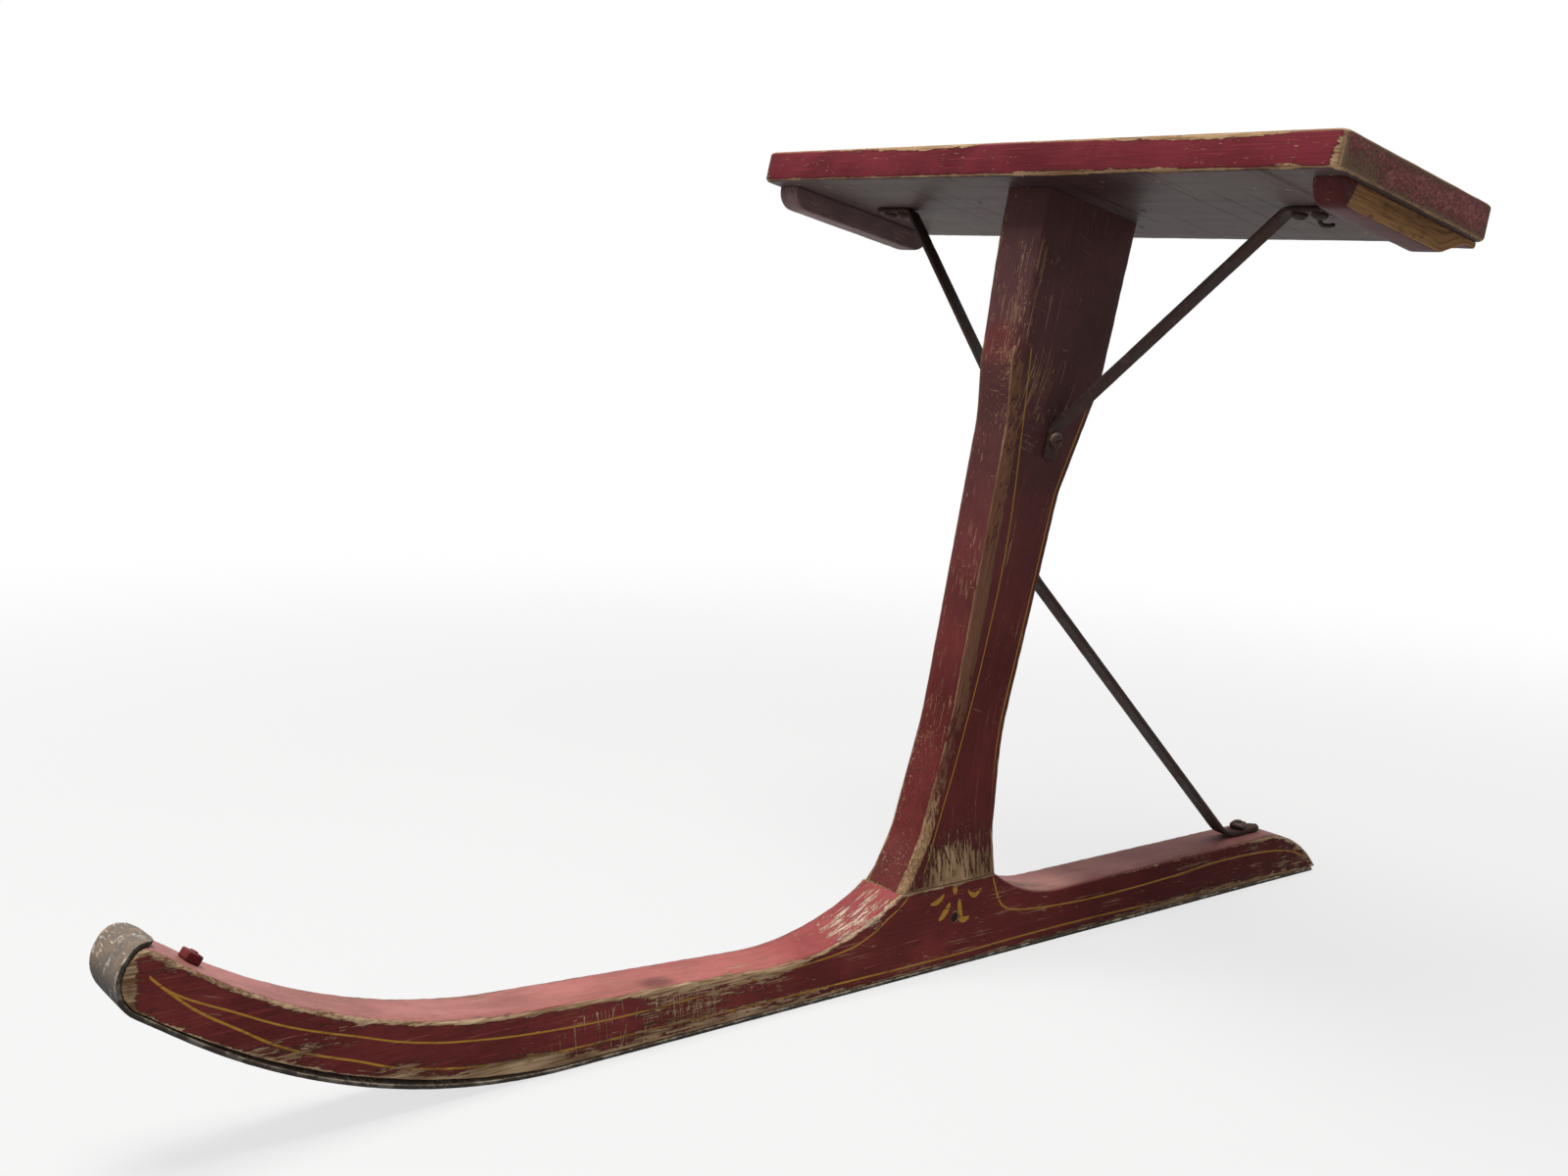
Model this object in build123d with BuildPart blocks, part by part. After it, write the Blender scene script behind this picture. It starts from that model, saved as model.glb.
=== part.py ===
from build123d import *
import os
from math import cos, radians, sin, tan

# Jack jumper sled: one upturned wooden runner shod with a steel strap, a leaning post
# tenoned into it, a crosswise seat board on the post, and three flat iron braces.
# Millimetres. +X is towards the upturned nose, +Y the rider's left, +Z up. The origin is
# on the floor, under the middle of the sled's overall length and of the seat.

# Runner
overall_length = 852.5      # from the rear toe to the front of the steel shoe
runner_width = 35.0         # across, along Y
rear_height = 33.8          # top of the straight rear arm above the floor
shoe_thickness = 2.5        # steel strap under the runner
nose_rise = 35.0            # degrees, slope of the nose above the floor
nose_straight = 27.5        # what the nose runs on beyond the bend, to its front
nose_thickness = 26.0       # wood, square to the slope
nose_round = 16.0           # lower front corner of the wood
nose_lip_round = 7.0        # upper front corner of the wood
sole_bend = 385.0           # radius of the wood's underside where it turns up
top_bend = 325.0            # radius of the wood's upper side where it turns up
waist_height = 27.6         # lowest point of the top, ahead of the post
waist_x = 75.0              # where that point lies
front_arm_slope = 3.3       # degrees, the top's gentle rise from there to the bend
boss_slope = 31.5           # degrees, the top's slope where it meets the post's front
boss_bend = 165.0           # radius of that sweep
scoop_slope = 36.0          # degrees, the same at the post's back
scoop_bend = 97.0           # radius of the scoop behind the post
toe_length = 60.0           # rounded stretch at the rear end
toe_height = 2.0            # upright wood left under the rounding
runner_edge = 2.0           # eased upper edges of the runner

# Steel shoe
shoe_gap = 0.3              # between the steel and the curved wood
shoe_bend = 345.0           # the strap's own radius, tighter than the wood's, so it stands off
shoe_lap = 15.0             # length of the tongue folded over the nose
shoe_tongue_round = 12.0    # corners of the tongue
shoe_end_inset = 3.0        # the strap stops this far ahead of the wood's rear toe

# Joint between post and runner
joint_height = 53.0         # flat face where the post stands on the runner
post_front_x = -22.5
post_back_x = -99.5
tenon_thickness = 12.0      # along Y
tenon_length = 46.0         # along X
tenon_depth = 38.0
fit_gap = 0.2               # around tenon, pegs and bolts
peg_radius = 3.0
peg_height = 31.5           # peg's centre above the floor
peg_x = -67.0
peg_recess = 1.5            # the peg's ends lie below the runner's sides

# Post
post_thickness = 34.0       # along Y
post_front_chamfer = 4.0    # along the two front corners, below the kink
post_back_round = 2.0
# corners of the post's side outline above the joint: x, z, radius
post_front_corners = [
    (-38.0, 82.0, 60.0),
    (-57.5, 150.0, 220.0),
    (-87.0, 328.0, 90.0),
]
post_kink = (-87.0, 362.0)
post_front_top = -104.3     # x where the front meets the seat
post_back_corners = [
    (-95.0, 80.0, 70.0),
    (-97.0, 140.0, 160.0),
    (-131.0, 284.0, 60.0),
    (-160.0, 348.0, 90.0),
]
post_back_top = -181.5

# Seat
seat_length = 450.0         # crosswise, along Y
seat_depth = 138.0
seat_thickness = 20.0
seat_pitch = 12.0           # degrees, front edge up
seat_x = -148.8             # centre of the seat's underside
seat_z = 451.4
seat_corner_round = 6.0
seat_edge_round = 2.5

# Cleats under the seat's two ends
cleat_thickness = 18.0      # along Y
cleat_depth = 13.5          # below the seat
cleat_front = 56.0          # front end, from the middle of the seat's depth
cleat_back = 66.0           # rear end
cleat_inset = 5.0           # in from the seat's end
cleat_end_round = 11.0
cleat_sweep = 29.0          # length of the left one's swept rear end
cleat_sweep_round = 16.0
cleat_tip = 3.5             # thickness where that sweep runs out

# Flat iron seat braces, one each side of the post
brace_width = 10.0
brace_thickness = 3.0
brace_bend = 7.0            # inner radius of each bend
brace_gap = 0.3             # between iron and wood
brace_corner_drop = 130.0   # lower bend below the seat, measured square to it
brace_foot_drop = 20.0      # the foot on the post, on below the bend
brace_bolt_drop = 8.5       # bolt through both feet and the post, below the bend
brace_cleat_gap = 24.0      # between the foot under the seat and the cleat
brace_foot_length = 30.0    # that foot, from the bend's corner
brace_screws = [9.0, 22.0]  # its two screws, from its outer end
bolt_radius = 2.5
nut_size = 10.0             # across the flats of a square nut
nut_thickness = 5.0
bolt_stand = 2.0            # bolt end beyond its nut
bolt_head_radius = 5.0
bolt_head_height = 3.0
screw_head_radius = 4.5
screw_head_height = 3.0
screw_radius = 2.0
screw_length = 12.0

# Rear brace, from the post's back down to the runner's rear arm
rear_brace_width = 11.0
rear_brace_thickness = 3.5
rear_brace_bend = 28.0
rear_brace_top = 270.0      # upper end of the foot on the post, height
rear_brace_turn = 238.0     # where it leaves the post
rear_screw_z = 260.0
rear_brace_foot_x = -338.0  # where it meets the runner
rear_brace_end_x = -376.0
rear_bolt_x = -356.0
rear_bolt_radius = 3.0
rear_nut_size = 11.0
rear_bolt_depth = 26.0      # shank inside the runner

# Painted square nut on top of the nose, on the bolt that holds the shoe
nose_bolt_along = 117.0     # from the bend's corner, along the slope
nose_bolt_radius = 2.5
nose_nut_size = 8.5
nose_nut_height = 5.0
nose_nut_gap = 0.3          # its flat seat off the curved wood
nose_head_radius = 5.0
nose_head_angle = 100.0     # degrees, countersunk in the shoe

# Places worked out from those sizes
half_length = overall_length / 2
half_width = runner_width / 2
rise = radians(nose_rise)
nose_length = sole_bend * tan(rise / 2) + nose_straight
nose_round_out = nose_round + shoe_gap + shoe_thickness
bend_x = half_length - nose_round_out
bend_x -= (nose_length - nose_round) * cos(rise) - nose_round * sin(rise)
sole = shoe_thickness
pitch = radians(seat_pitch)


def on_nose(along, up):
    """Point at a distance along the nose's slope and square to it, from the bend's corner."""
    return (
        bend_x + along * cos(rise) - up * sin(rise),
        sole + along * sin(rise) + up * cos(rise),
    )


def nose_outline(gap):
    """The three corners of the nose's outline, standing off the wood by a gap."""
    return [
        (bend_x + gap / sin(rise), sole),
        on_nose(nose_length + gap, -gap),
        on_nose(nose_length + gap, nose_thickness + gap),
    ]


def underside(x):
    """Height of the seat's underside."""
    return seat_z + (x - seat_x) * tan(pitch)


def meet(slope_a, point_a, slope_b, point_b):
    """Point where two sloping lines meet."""
    x = point_b[1] - point_a[1] + slope_a * point_a[0] - slope_b * point_b[0]
    x /= slope_a - slope_b
    return (x, point_a[1] + slope_a * (x - point_a[0]))


seat_plane = Plane(
    origin=(seat_x, 0, seat_z),
    x_dir=(cos(pitch), 0, sin(pitch)),
    z_dir=(-sin(pitch), 0, cos(pitch)),
)
# Upright planes across the seat, one for each side: x runs out along the seat, y square to it
brace_planes = {
    side: Plane(
        origin=seat_plane.origin,
        x_dir=(0, side, 0),
        z_dir=(side * cos(pitch), 0, side * sin(pitch)),
    )
    for side in (1, -1)
}
# Axis of the bolt through the post, pointing to the rider's left
bolt_plane = Plane(
    origin=seat_plane.from_local_coords((0, 0, -brace_corner_drop - brace_bolt_drop)),
    x_dir=seat_plane.x_dir,
    z_dir=(0, 1, 0),
)
peg_plane = Plane(origin=(peg_x, 0, peg_height), x_dir=(1, 0, 0), z_dir=(0, 1, 0))
nose_plane = Plane(
    origin=(on_nose(nose_bolt_along, 0)[0], 0, on_nose(nose_bolt_along, 0)[1]),
    x_dir=(cos(rise), 0, sin(rise)),
    z_dir=(-sin(rise), 0, cos(rise)),
)
shoe_face = -shoe_gap - shoe_thickness
nose_under = Plane(
    origin=nose_plane.from_local_coords((0, 0, shoe_face)),
    x_dir=nose_plane.x_dir,
    z_dir=-nose_plane.z_dir,
)

# The straight stretch of the post's back, which the rear brace's upper foot lies on
back_start = Vector(*post_back_corners[1][:2])
back_end = Vector(*post_back_corners[2][:2])
back_run = (back_end - back_start).normalized()
back_out = Vector(-back_run.Y, back_run.X)


def post_back_at(z, off):
    """Point at a height on the straight back of the post, standing off it."""
    along = (z - back_start.Y) / back_run.Y
    return back_start + back_run * along + back_out * off


rear_screw_at = post_back_at(rear_screw_z, 0)
rear_screw_plane = Plane(
    origin=(rear_screw_at.X, 0, rear_screw_at.Y),
    x_dir=(0, 1, 0),
    z_dir=(back_out.X, 0, back_out.Y),
)


def on_flank(edge, y):
    """Whether an edge lies all along one of the two upright sides."""
    return abs(abs(edge.center().Y) - y) < 0.01 and edge.bounding_box().size.Y < 0.01


def flank_edges(faces, y):
    """Edges where some faces meet the two upright sides."""
    found = ShapeList()
    for face in faces:
        found += [e for e in face.edges() if on_flank(e, y)]
    return found


def strap(plane, points, bend, thickness, width):
    """Flat iron strap bent along a path on its inner side, its width square to the path's plane."""
    with BuildPart() as bar:
        with BuildSketch(plane):
            with BuildLine():
                path = FilletPolyline(*points, radius=bend)
                offset(path, amount=thickness, side=Side.RIGHT)
            make_face()
        extrude(amount=width / 2, both=True)
    return bar.part


def headed(plane, head_radius, head_height, radius, length):
    """Raised round head standing on a plane, with a shank going in behind it."""
    with BuildPart(plane) as one:
        Cylinder(head_radius, head_height / 2, align=(Align.CENTER, Align.CENTER, Align.MIN))
        with Locations((0, 0, head_height / 2)):
            Cone(
                head_radius, head_radius / 2, head_height / 2,
                align=(Align.CENTER, Align.CENTER, Align.MIN),
            )
        Cylinder(radius, length, align=(Align.CENTER, Align.CENTER, Align.MAX))
    return one.part


def square_nut(plane, size, thickness, bore):
    """Square nut standing on a plane, its outer corners rounded off."""
    with BuildPart(plane) as nut:
        Box(size, size, thickness, align=(Align.CENTER, Align.CENTER, Align.MIN))
        outer = nut.faces().sort_by(Axis(plane.origin, plane.z_dir))[-1]
        chamfer(outer.edges(), thickness * 0.2)
        with Locations((0, 0, thickness)):
            Hole(bore, depth=2 * thickness)
    return nut.part


# Corners of the runner's outline
boss_corner = meet(
    -tan(radians(boss_slope)), (post_front_x, joint_height),
    tan(radians(front_arm_slope)), (waist_x, waist_height),
)
bend_top_corner = meet(
    tan(radians(front_arm_slope)), (waist_x, waist_height),
    tan(rise), on_nose(0, nose_thickness),
)
scoop_corner = (post_back_x - (joint_height - rear_height) / tan(radians(scoop_slope)), rear_height)
wood_nose = nose_outline(0)
tenon_middle = (post_front_x + post_back_x) / 2

# Runner
with BuildPart() as runner:
    with BuildSketch(Plane.XZ):
        with BuildLine():
            top = FilletPolyline(
                (post_front_x, joint_height),
                boss_corner,
                bend_top_corner,
                wood_nose[2],
                wood_nose[1],
                wood_nose[0],
                (-half_length, sole),
                radius=[boss_bend, top_bend, nose_lip_round, nose_round, sole_bend],
            )
            toe = Line(top @ 1, (-half_length, sole + toe_height))
            toe_arc = TangentArc(
                (toe_length - half_length, rear_height), toe @ 1, tangent=(-1, 0)
            )
            rear_top = FilletPolyline(
                toe_arc @ 0, scoop_corner, (post_back_x, joint_height), radius=scoop_bend
            )
            Line(rear_top @ 1, top @ 0)
        make_face()
    extrude(amount=half_width, both=True)
    # eased upper edges, left sharp where the post stands
    for low, high in ((post_front_x, half_length), (-half_length, post_back_x)):
        upper = [
            f for f in runner.faces() if f.normal_at().Z > 0.3 and low < f.center().X < high
        ]
        chamfer(flank_edges(upper, half_width), runner_edge)
    # mortise for the post's tenon
    with BuildSketch(Plane.XY.offset(joint_height)):
        with Locations((tenon_middle, 0)):
            Rectangle(tenon_length + 2 * fit_gap, tenon_thickness + 2 * fit_gap)
    extrude(amount=-tenon_depth - fit_gap, mode=Mode.SUBTRACT)
    # peg across the joint, bolt of the rear brace, bolt of the shoe
    with Locations(peg_plane):
        Hole(peg_radius + fit_gap)
    with Locations((rear_bolt_x, 0, rear_height)):
        Hole(rear_bolt_radius + fit_gap, depth=rear_bolt_depth + fit_gap)
    with Locations(nose_plane):
        Hole(nose_bolt_radius + fit_gap)
runner.part.label = "runner"

# Steel shoe: one strap under the whole runner, standing a little off the wood at the bend,
# taken round the nose and folded over its top as a rounded tongue
shoe_nose = nose_outline(shoe_gap)
shoe_tip = on_nose(nose_length - shoe_lap, nose_thickness + shoe_gap)
with BuildPart() as runner_shoe:
    with BuildSketch(Plane.XZ):
        with BuildLine():
            inner = FilletPolyline(
                (shoe_end_inset - half_length, sole),
                *shoe_nose,
                shoe_tip,
                radius=[shoe_bend, nose_round + shoe_gap, nose_lip_round + shoe_gap],
            )
            offset(inner, amount=shoe_thickness, side=Side.RIGHT)
        make_face()
    extrude(amount=half_width, both=True)
    short = [e for e in runner_shoe.edges() if abs(e.length - shoe_thickness) < 0.01]
    fillet([e for e in short if e.center().Z > joint_height], shoe_tongue_round)
    with Locations(nose_under):
        CounterSinkHole(
            radius=nose_bolt_radius + fit_gap,
            counter_sink_radius=nose_head_radius + fit_gap,
            depth=2 * shoe_thickness,
            counter_sink_angle=nose_head_angle,
        )
runner_shoe.part.label = "runner_shoe"

# Post with its tenon
with BuildPart() as post:
    with BuildSketch(Plane.XZ):
        with BuildLine():
            front = FilletPolyline(
                (post_front_x, joint_height),
                *[(x, z) for x, z, r in post_front_corners],
                post_kink,
                radius=[r for x, z, r in post_front_corners],
            )
            kink = Line(front @ 1, (post_front_top, underside(post_front_top)))
            back = FilletPolyline(
                (post_back_x, joint_height),
                *[(x, z) for x, z, r in post_back_corners],
                (post_back_top, underside(post_back_top)),
                radius=[r for x, z, r in post_back_corners],
            )
            Line(kink @ 1, back @ 1)
            Line(back @ 0, front @ 0)
        make_face()
    extrude(amount=post_thickness / 2, both=True)
    # chamfers up the front as far as the kink, small roundings up the back
    forward = [
        f for f in post.faces()
        if f.normal_at().X > 0.5 and f.center().Z < post_kink[1]
    ]
    chamfer(flank_edges(forward, post_thickness / 2), post_front_chamfer)
    backward = [f for f in post.faces() if f.normal_at().X < -0.5]
    fillet(flank_edges(backward, post_thickness / 2), post_back_round)
    with BuildSketch(Plane.XY.offset(joint_height)):
        with Locations((tenon_middle, 0)):
            Rectangle(tenon_length, tenon_thickness)
    extrude(amount=-tenon_depth)
    with Locations(peg_plane):
        Hole(peg_radius + fit_gap)
    with Locations(bolt_plane):
        Hole(bolt_radius + fit_gap)
    with Locations(rear_screw_plane):
        Hole(screw_radius + fit_gap, depth=screw_length + fit_gap)
post.part.label = "post"

# Wooden peg that locks the tenon
with BuildPart(peg_plane) as tenon_peg:
    Cylinder(peg_radius, runner_width - 2 * peg_recess)
tenon_peg.part.label = "tenon_peg"

# Seat board
under_seat = Plane(origin=seat_plane.origin, x_dir=seat_plane.x_dir, z_dir=-seat_plane.z_dir)
brace_end = seat_length / 2 - cleat_inset - cleat_thickness - brace_cleat_gap
screw_spots = [(0, side * (brace_end - inset)) for side in (1, -1) for inset in brace_screws]
with BuildPart() as seat_board:
    with BuildSketch(seat_plane):
        RectangleRounded(seat_depth, seat_length, seat_corner_round)
    extrude(amount=seat_thickness)
    flats = seat_board.faces().sort_by(Axis(seat_plane.origin, seat_plane.z_dir))
    fillet(flats[0].edges() + flats[-1].edges(), seat_edge_round)
    with Locations(under_seat):
        with Locations(*screw_spots):
            Hole(screw_radius + fit_gap, depth=screw_length + fit_gap)
seat_board.part.label = "seat_board"

# Cleats: strips across the seat's grain under its two ends. The right one's lower corners
# are rounded, and the left one's rear end is swept up instead.
cleat_y = seat_length / 2 - cleat_inset - cleat_thickness / 2
rounded_end = [(-cleat_back, -cleat_depth)]
swept_end = [
    (cleat_sweep - cleat_back, -cleat_depth),
    (cleat_sweep / 3 - cleat_back, -cleat_tip),
    (-cleat_back, -cleat_tip),
]
cleats = []
for name, side, rear_end, rounds in (
    ("cleat_left", 1, swept_end, [cleat_sweep_round, cleat_sweep_round, 0]),
    ("cleat_right", -1, rounded_end, [cleat_end_round]),
):
    cleat_plane = Plane(
        origin=seat_plane.from_local_coords((0, side * cleat_y, 0)),
        x_dir=seat_plane.x_dir,
        z_dir=(0, -1, 0),
    )
    with BuildPart() as cleat:
        with BuildSketch(cleat_plane):
            with BuildLine():
                lower = FilletPolyline(
                    (cleat_front, 0),
                    (cleat_front, -cleat_depth),
                    *rear_end,
                    (-cleat_back, 0),
                    radius=[cleat_end_round, *rounds],
                )
                Line(lower @ 1, lower @ 0)
            make_face()
        extrude(amount=cleat_thickness / 2, both=True)
    cleat.part.label = name
    cleats.append(cleat)

# Seat braces: a foot up the post's side, a slanting run, and a foot under the seat
flank = post_thickness / 2 + brace_gap
brace_path = [
    (flank, -brace_corner_drop - brace_foot_drop),
    (flank, -brace_corner_drop),
    (brace_end - brace_foot_length, -brace_gap),
    (brace_end, -brace_gap),
]
braces = []
for name, side in (("brace_left", 1), ("brace_right", -1)):
    with BuildPart() as brace:
        add(strap(brace_planes[side], brace_path, brace_bend, brace_thickness, brace_width))
        with Locations(bolt_plane):
            Hole(bolt_radius + fit_gap)
        with Locations(under_seat.offset(brace_gap + brace_thickness)):
            with Locations(*screw_spots):
                Hole(screw_radius + fit_gap, depth=2 * brace_thickness)
    brace.part.label = name
    braces.append(brace)

# Bolt through both feet and the post, its head on the rider's left, its square nut on the right
foot_face = flank + brace_thickness
post_bolt = headed(
    bolt_plane.offset(foot_face), bolt_head_radius, bolt_head_height,
    bolt_radius, 2 * foot_face + nut_thickness + bolt_stand,
)
post_bolt.label = "post_bolt"

nut_plane = Plane(
    origin=bolt_plane.from_local_coords((0, 0, -foot_face)),
    x_dir=bolt_plane.x_dir,
    z_dir=-bolt_plane.z_dir,
)
post_nut = square_nut(nut_plane, nut_size, nut_thickness, bolt_radius + fit_gap)
post_nut.label = "post_nut"

# Screws under the seat, two on each brace's foot
seat_screws = []
under_foot = under_seat.offset(brace_gap + brace_thickness)
for number, (x, y) in enumerate(screw_spots, start=1):
    spot = under_foot.shift_origin(under_foot.from_local_coords((x, y, 0)))
    one = headed(spot, screw_head_radius, screw_head_height, screw_radius, screw_length)
    one.label = f"seat_screw_{number}"
    seat_screws.append(one)

# Rear brace
rear_brace_path = [
    post_back_at(rear_brace_top, brace_gap),
    post_back_at(rear_brace_turn, brace_gap),
    (rear_brace_foot_x, rear_height + brace_gap),
    (rear_brace_end_x, rear_height + brace_gap),
]
with BuildPart() as brace_rear:
    add(strap(
        Plane.XZ, rear_brace_path, rear_brace_bend, rear_brace_thickness, rear_brace_width
    ))
    with Locations((rear_bolt_x, 0, rear_height + brace_gap + rear_brace_thickness)):
        Hole(rear_bolt_radius + fit_gap, depth=2 * rear_brace_thickness)
    with Locations(rear_screw_plane.offset(brace_gap + rear_brace_thickness)):
        Hole(screw_radius + fit_gap, depth=2 * rear_brace_thickness)
brace_rear.part.label = "brace_rear"

rear_foot_top = rear_height + brace_gap + rear_brace_thickness
with BuildPart() as rear_bolt:
    with Locations((rear_bolt_x, 0, rear_height - rear_bolt_depth)):
        Cylinder(
            rear_bolt_radius,
            rear_foot_top - rear_height + rear_bolt_depth + nut_thickness + bolt_stand / 2,
            align=(Align.CENTER, Align.CENTER, Align.MIN),
        )
rear_bolt.part.label = "rear_bolt"

rear_nut = square_nut(
    Plane(origin=(rear_bolt_x, 0, rear_foot_top)),
    rear_nut_size, nut_thickness, rear_bolt_radius + fit_gap,
)
rear_nut.label = "rear_nut"

rear_screw = headed(
    rear_screw_plane.offset(brace_gap + rear_brace_thickness),
    screw_head_radius, screw_head_height, screw_radius, screw_length,
)
rear_screw.label = "rear_screw"

# Bolt of the shoe: a countersunk head in the steel and a square nut on the nose's top
head_depth = (nose_head_radius - nose_bolt_radius) / tan(radians(nose_head_angle / 2))
with BuildPart(nose_plane) as nose_bolt:
    with Locations((0, 0, shoe_face)):
        Cone(
            nose_head_radius, nose_bolt_radius, head_depth,
            align=(Align.CENTER, Align.CENTER, Align.MIN),
        )
        Cylinder(
            nose_bolt_radius, nose_thickness - shoe_face + nose_nut_gap + nose_nut_height,
            align=(Align.CENTER, Align.CENTER, Align.MIN),
        )
    with Locations((0, 0, nose_thickness + nose_nut_gap)):
        Box(
            nose_nut_size, nose_nut_size, nose_nut_height,
            align=(Align.CENTER, Align.CENTER, Align.MIN),
        )
    nut_top = nose_bolt.faces().sort_by(Axis(nose_plane.origin, nose_plane.z_dir))[-1]
    chamfer(nut_top.edges(), nose_nut_height * 0.2)
nose_bolt.part.label = "nose_bolt"

os.makedirs("parts", exist_ok=True)
pieces = [
    piece.part
    for piece in (
        runner, runner_shoe, post, tenon_peg, seat_board, *cleats, *braces,
        brace_rear, rear_bolt, nose_bolt,
    )
]
pieces += [post_bolt, post_nut, rear_nut, rear_screw, *seat_screws]
for piece in pieces:
    export_step(piece, f"parts/{piece.label}.step")
    print(f"{piece.label}: {piece.volume / 1000:.2f} cm3")
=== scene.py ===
# %% [markdown]
# # A jack jumper sled in worn red paint
# The real sled is one upturned wooden runner with a steel shoe, a leaning post with a seat
# board across its top, and three flat iron braces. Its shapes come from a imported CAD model
# that this lesson loads as a fixed frame. Blender's part is the looks: softened edges, paint
# worn through to the wood, striping, scratched steel and dark iron. The frame is in metres,
# and small sizes are written in millimetres, times MM.

# %% Load the frame
import math
import random
import bmesh
import bpy
from mathutils import Matrix, Vector, noise


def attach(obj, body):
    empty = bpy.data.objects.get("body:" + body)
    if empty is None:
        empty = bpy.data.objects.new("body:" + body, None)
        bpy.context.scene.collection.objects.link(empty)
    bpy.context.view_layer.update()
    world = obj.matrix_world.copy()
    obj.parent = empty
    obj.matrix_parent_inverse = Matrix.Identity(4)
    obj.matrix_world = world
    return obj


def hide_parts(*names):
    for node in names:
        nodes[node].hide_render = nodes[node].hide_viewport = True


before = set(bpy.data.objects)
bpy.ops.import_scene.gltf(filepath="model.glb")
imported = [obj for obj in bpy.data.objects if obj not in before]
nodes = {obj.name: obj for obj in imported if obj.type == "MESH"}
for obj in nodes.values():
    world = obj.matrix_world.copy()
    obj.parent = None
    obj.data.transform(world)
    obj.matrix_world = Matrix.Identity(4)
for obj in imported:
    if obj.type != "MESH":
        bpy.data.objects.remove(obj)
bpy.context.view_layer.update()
MM = 0.001

# %% [markdown]
# ## The camera
# A camera can be aimed by hand, but here its place was worked out from the sled's straight
# edges in the picture, so that every piece falls where the picture shows it. It stands at an
# eye point, looks along a direction, and is rolled by a few degrees, as if held by hand.

# %% Camera
camera_data = bpy.data.cameras.new("studio_camera")
camera_data.sensor_width = 36.0
camera_data.lens = 41.124
camera_data.clip_start = 0.05
camera = bpy.data.objects.new("studio_camera", camera_data)
eye = Vector((0.6571, 0.7482, 0.3991))
forward = Vector((-0.61381, -0.77153, -0.16728))
camera_roll = math.radians(2.79)
turn = forward.to_track_quat("-Z", "Y").to_matrix().to_4x4()
camera.matrix_world = Matrix.Translation(eye) @ turn @ Matrix.Rotation(camera_roll, 4, "Z")
bpy.context.scene.collection.objects.link(camera)
bpy.context.scene.camera = camera
bpy.context.scene.view_settings.view_transform = "Standard"
print("camera at", tuple(round(c, 3) for c in eye))

# %% [markdown]
# ## Shader maths as plain expressions
# A procedural material is a small program made of nodes. Adding nodes one by one hides what
# the program does, so a thin wrapper round a socket lets `1 - mask * 2` add the Math nodes
# by itself. Colours and vectors go through Mix and Vector Math nodes instead, because a Math
# node would turn a colour grey.

# %% A socket that can be added and multiplied
class Wire:
    """One output socket of a finish, with arithmetic."""

    def __init__(self, finish, socket):
        self.finish = finish
        self.socket = socket

    def maths(self, operation, *others):
        """A Math node on this value and others."""
        return self.finish.node("Math", {"operation": operation}, [self, *others])

    def __add__(self, other):
        return self.maths("ADD", other)

    def __sub__(self, other):
        return self.maths("SUBTRACT", other)

    def __mul__(self, other):
        return self.maths("MULTIPLY", other)

    def __truediv__(self, other):
        return self.maths("DIVIDE", other)

    def __rsub__(self, other):
        return self.finish.node("Math", {"operation": "SUBTRACT"}, [other, self])

    def __rtruediv__(self, other):
        return self.finish.node("Math", {"operation": "DIVIDE"}, [other, self])

    __radd__ = __add__
    __rmul__ = __mul__

    def __abs__(self):
        return self.maths("ABSOLUTE")

    def most(self, other):
        """The larger of two values."""
        return self.maths("MAXIMUM", other)

    def falling(self, rate):
        """1 at zero, and fading away as this value grows."""
        return (self * -rate).maths("EXPONENT")

    def step(self, low, high, start=0.0, end=1.0):
        """Goes smoothly from start to end while this value goes from low to high."""
        settings = {"interpolation_type": "SMOOTHSTEP"}
        inputs = {"Value": self, "From Min": low, "From Max": high, "To Min": start, "To Max": end}
        return self.finish.node("MapRange", settings, inputs)

    def step_mm(self, low, high, start=0.0, end=1.0):
        """The same for a length, with low and high in millimetres."""
        return self.step(low * MM, high * MM, start, end)


# %% [markdown]
# ## One method that makes any node
# Every node has a type, settings that change its sockets, and values or links for those
# sockets. Settings go first, since they decide which sockets exist. A curve's points are a
# setting too. The other methods are short names for nodes that are used often.

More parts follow.
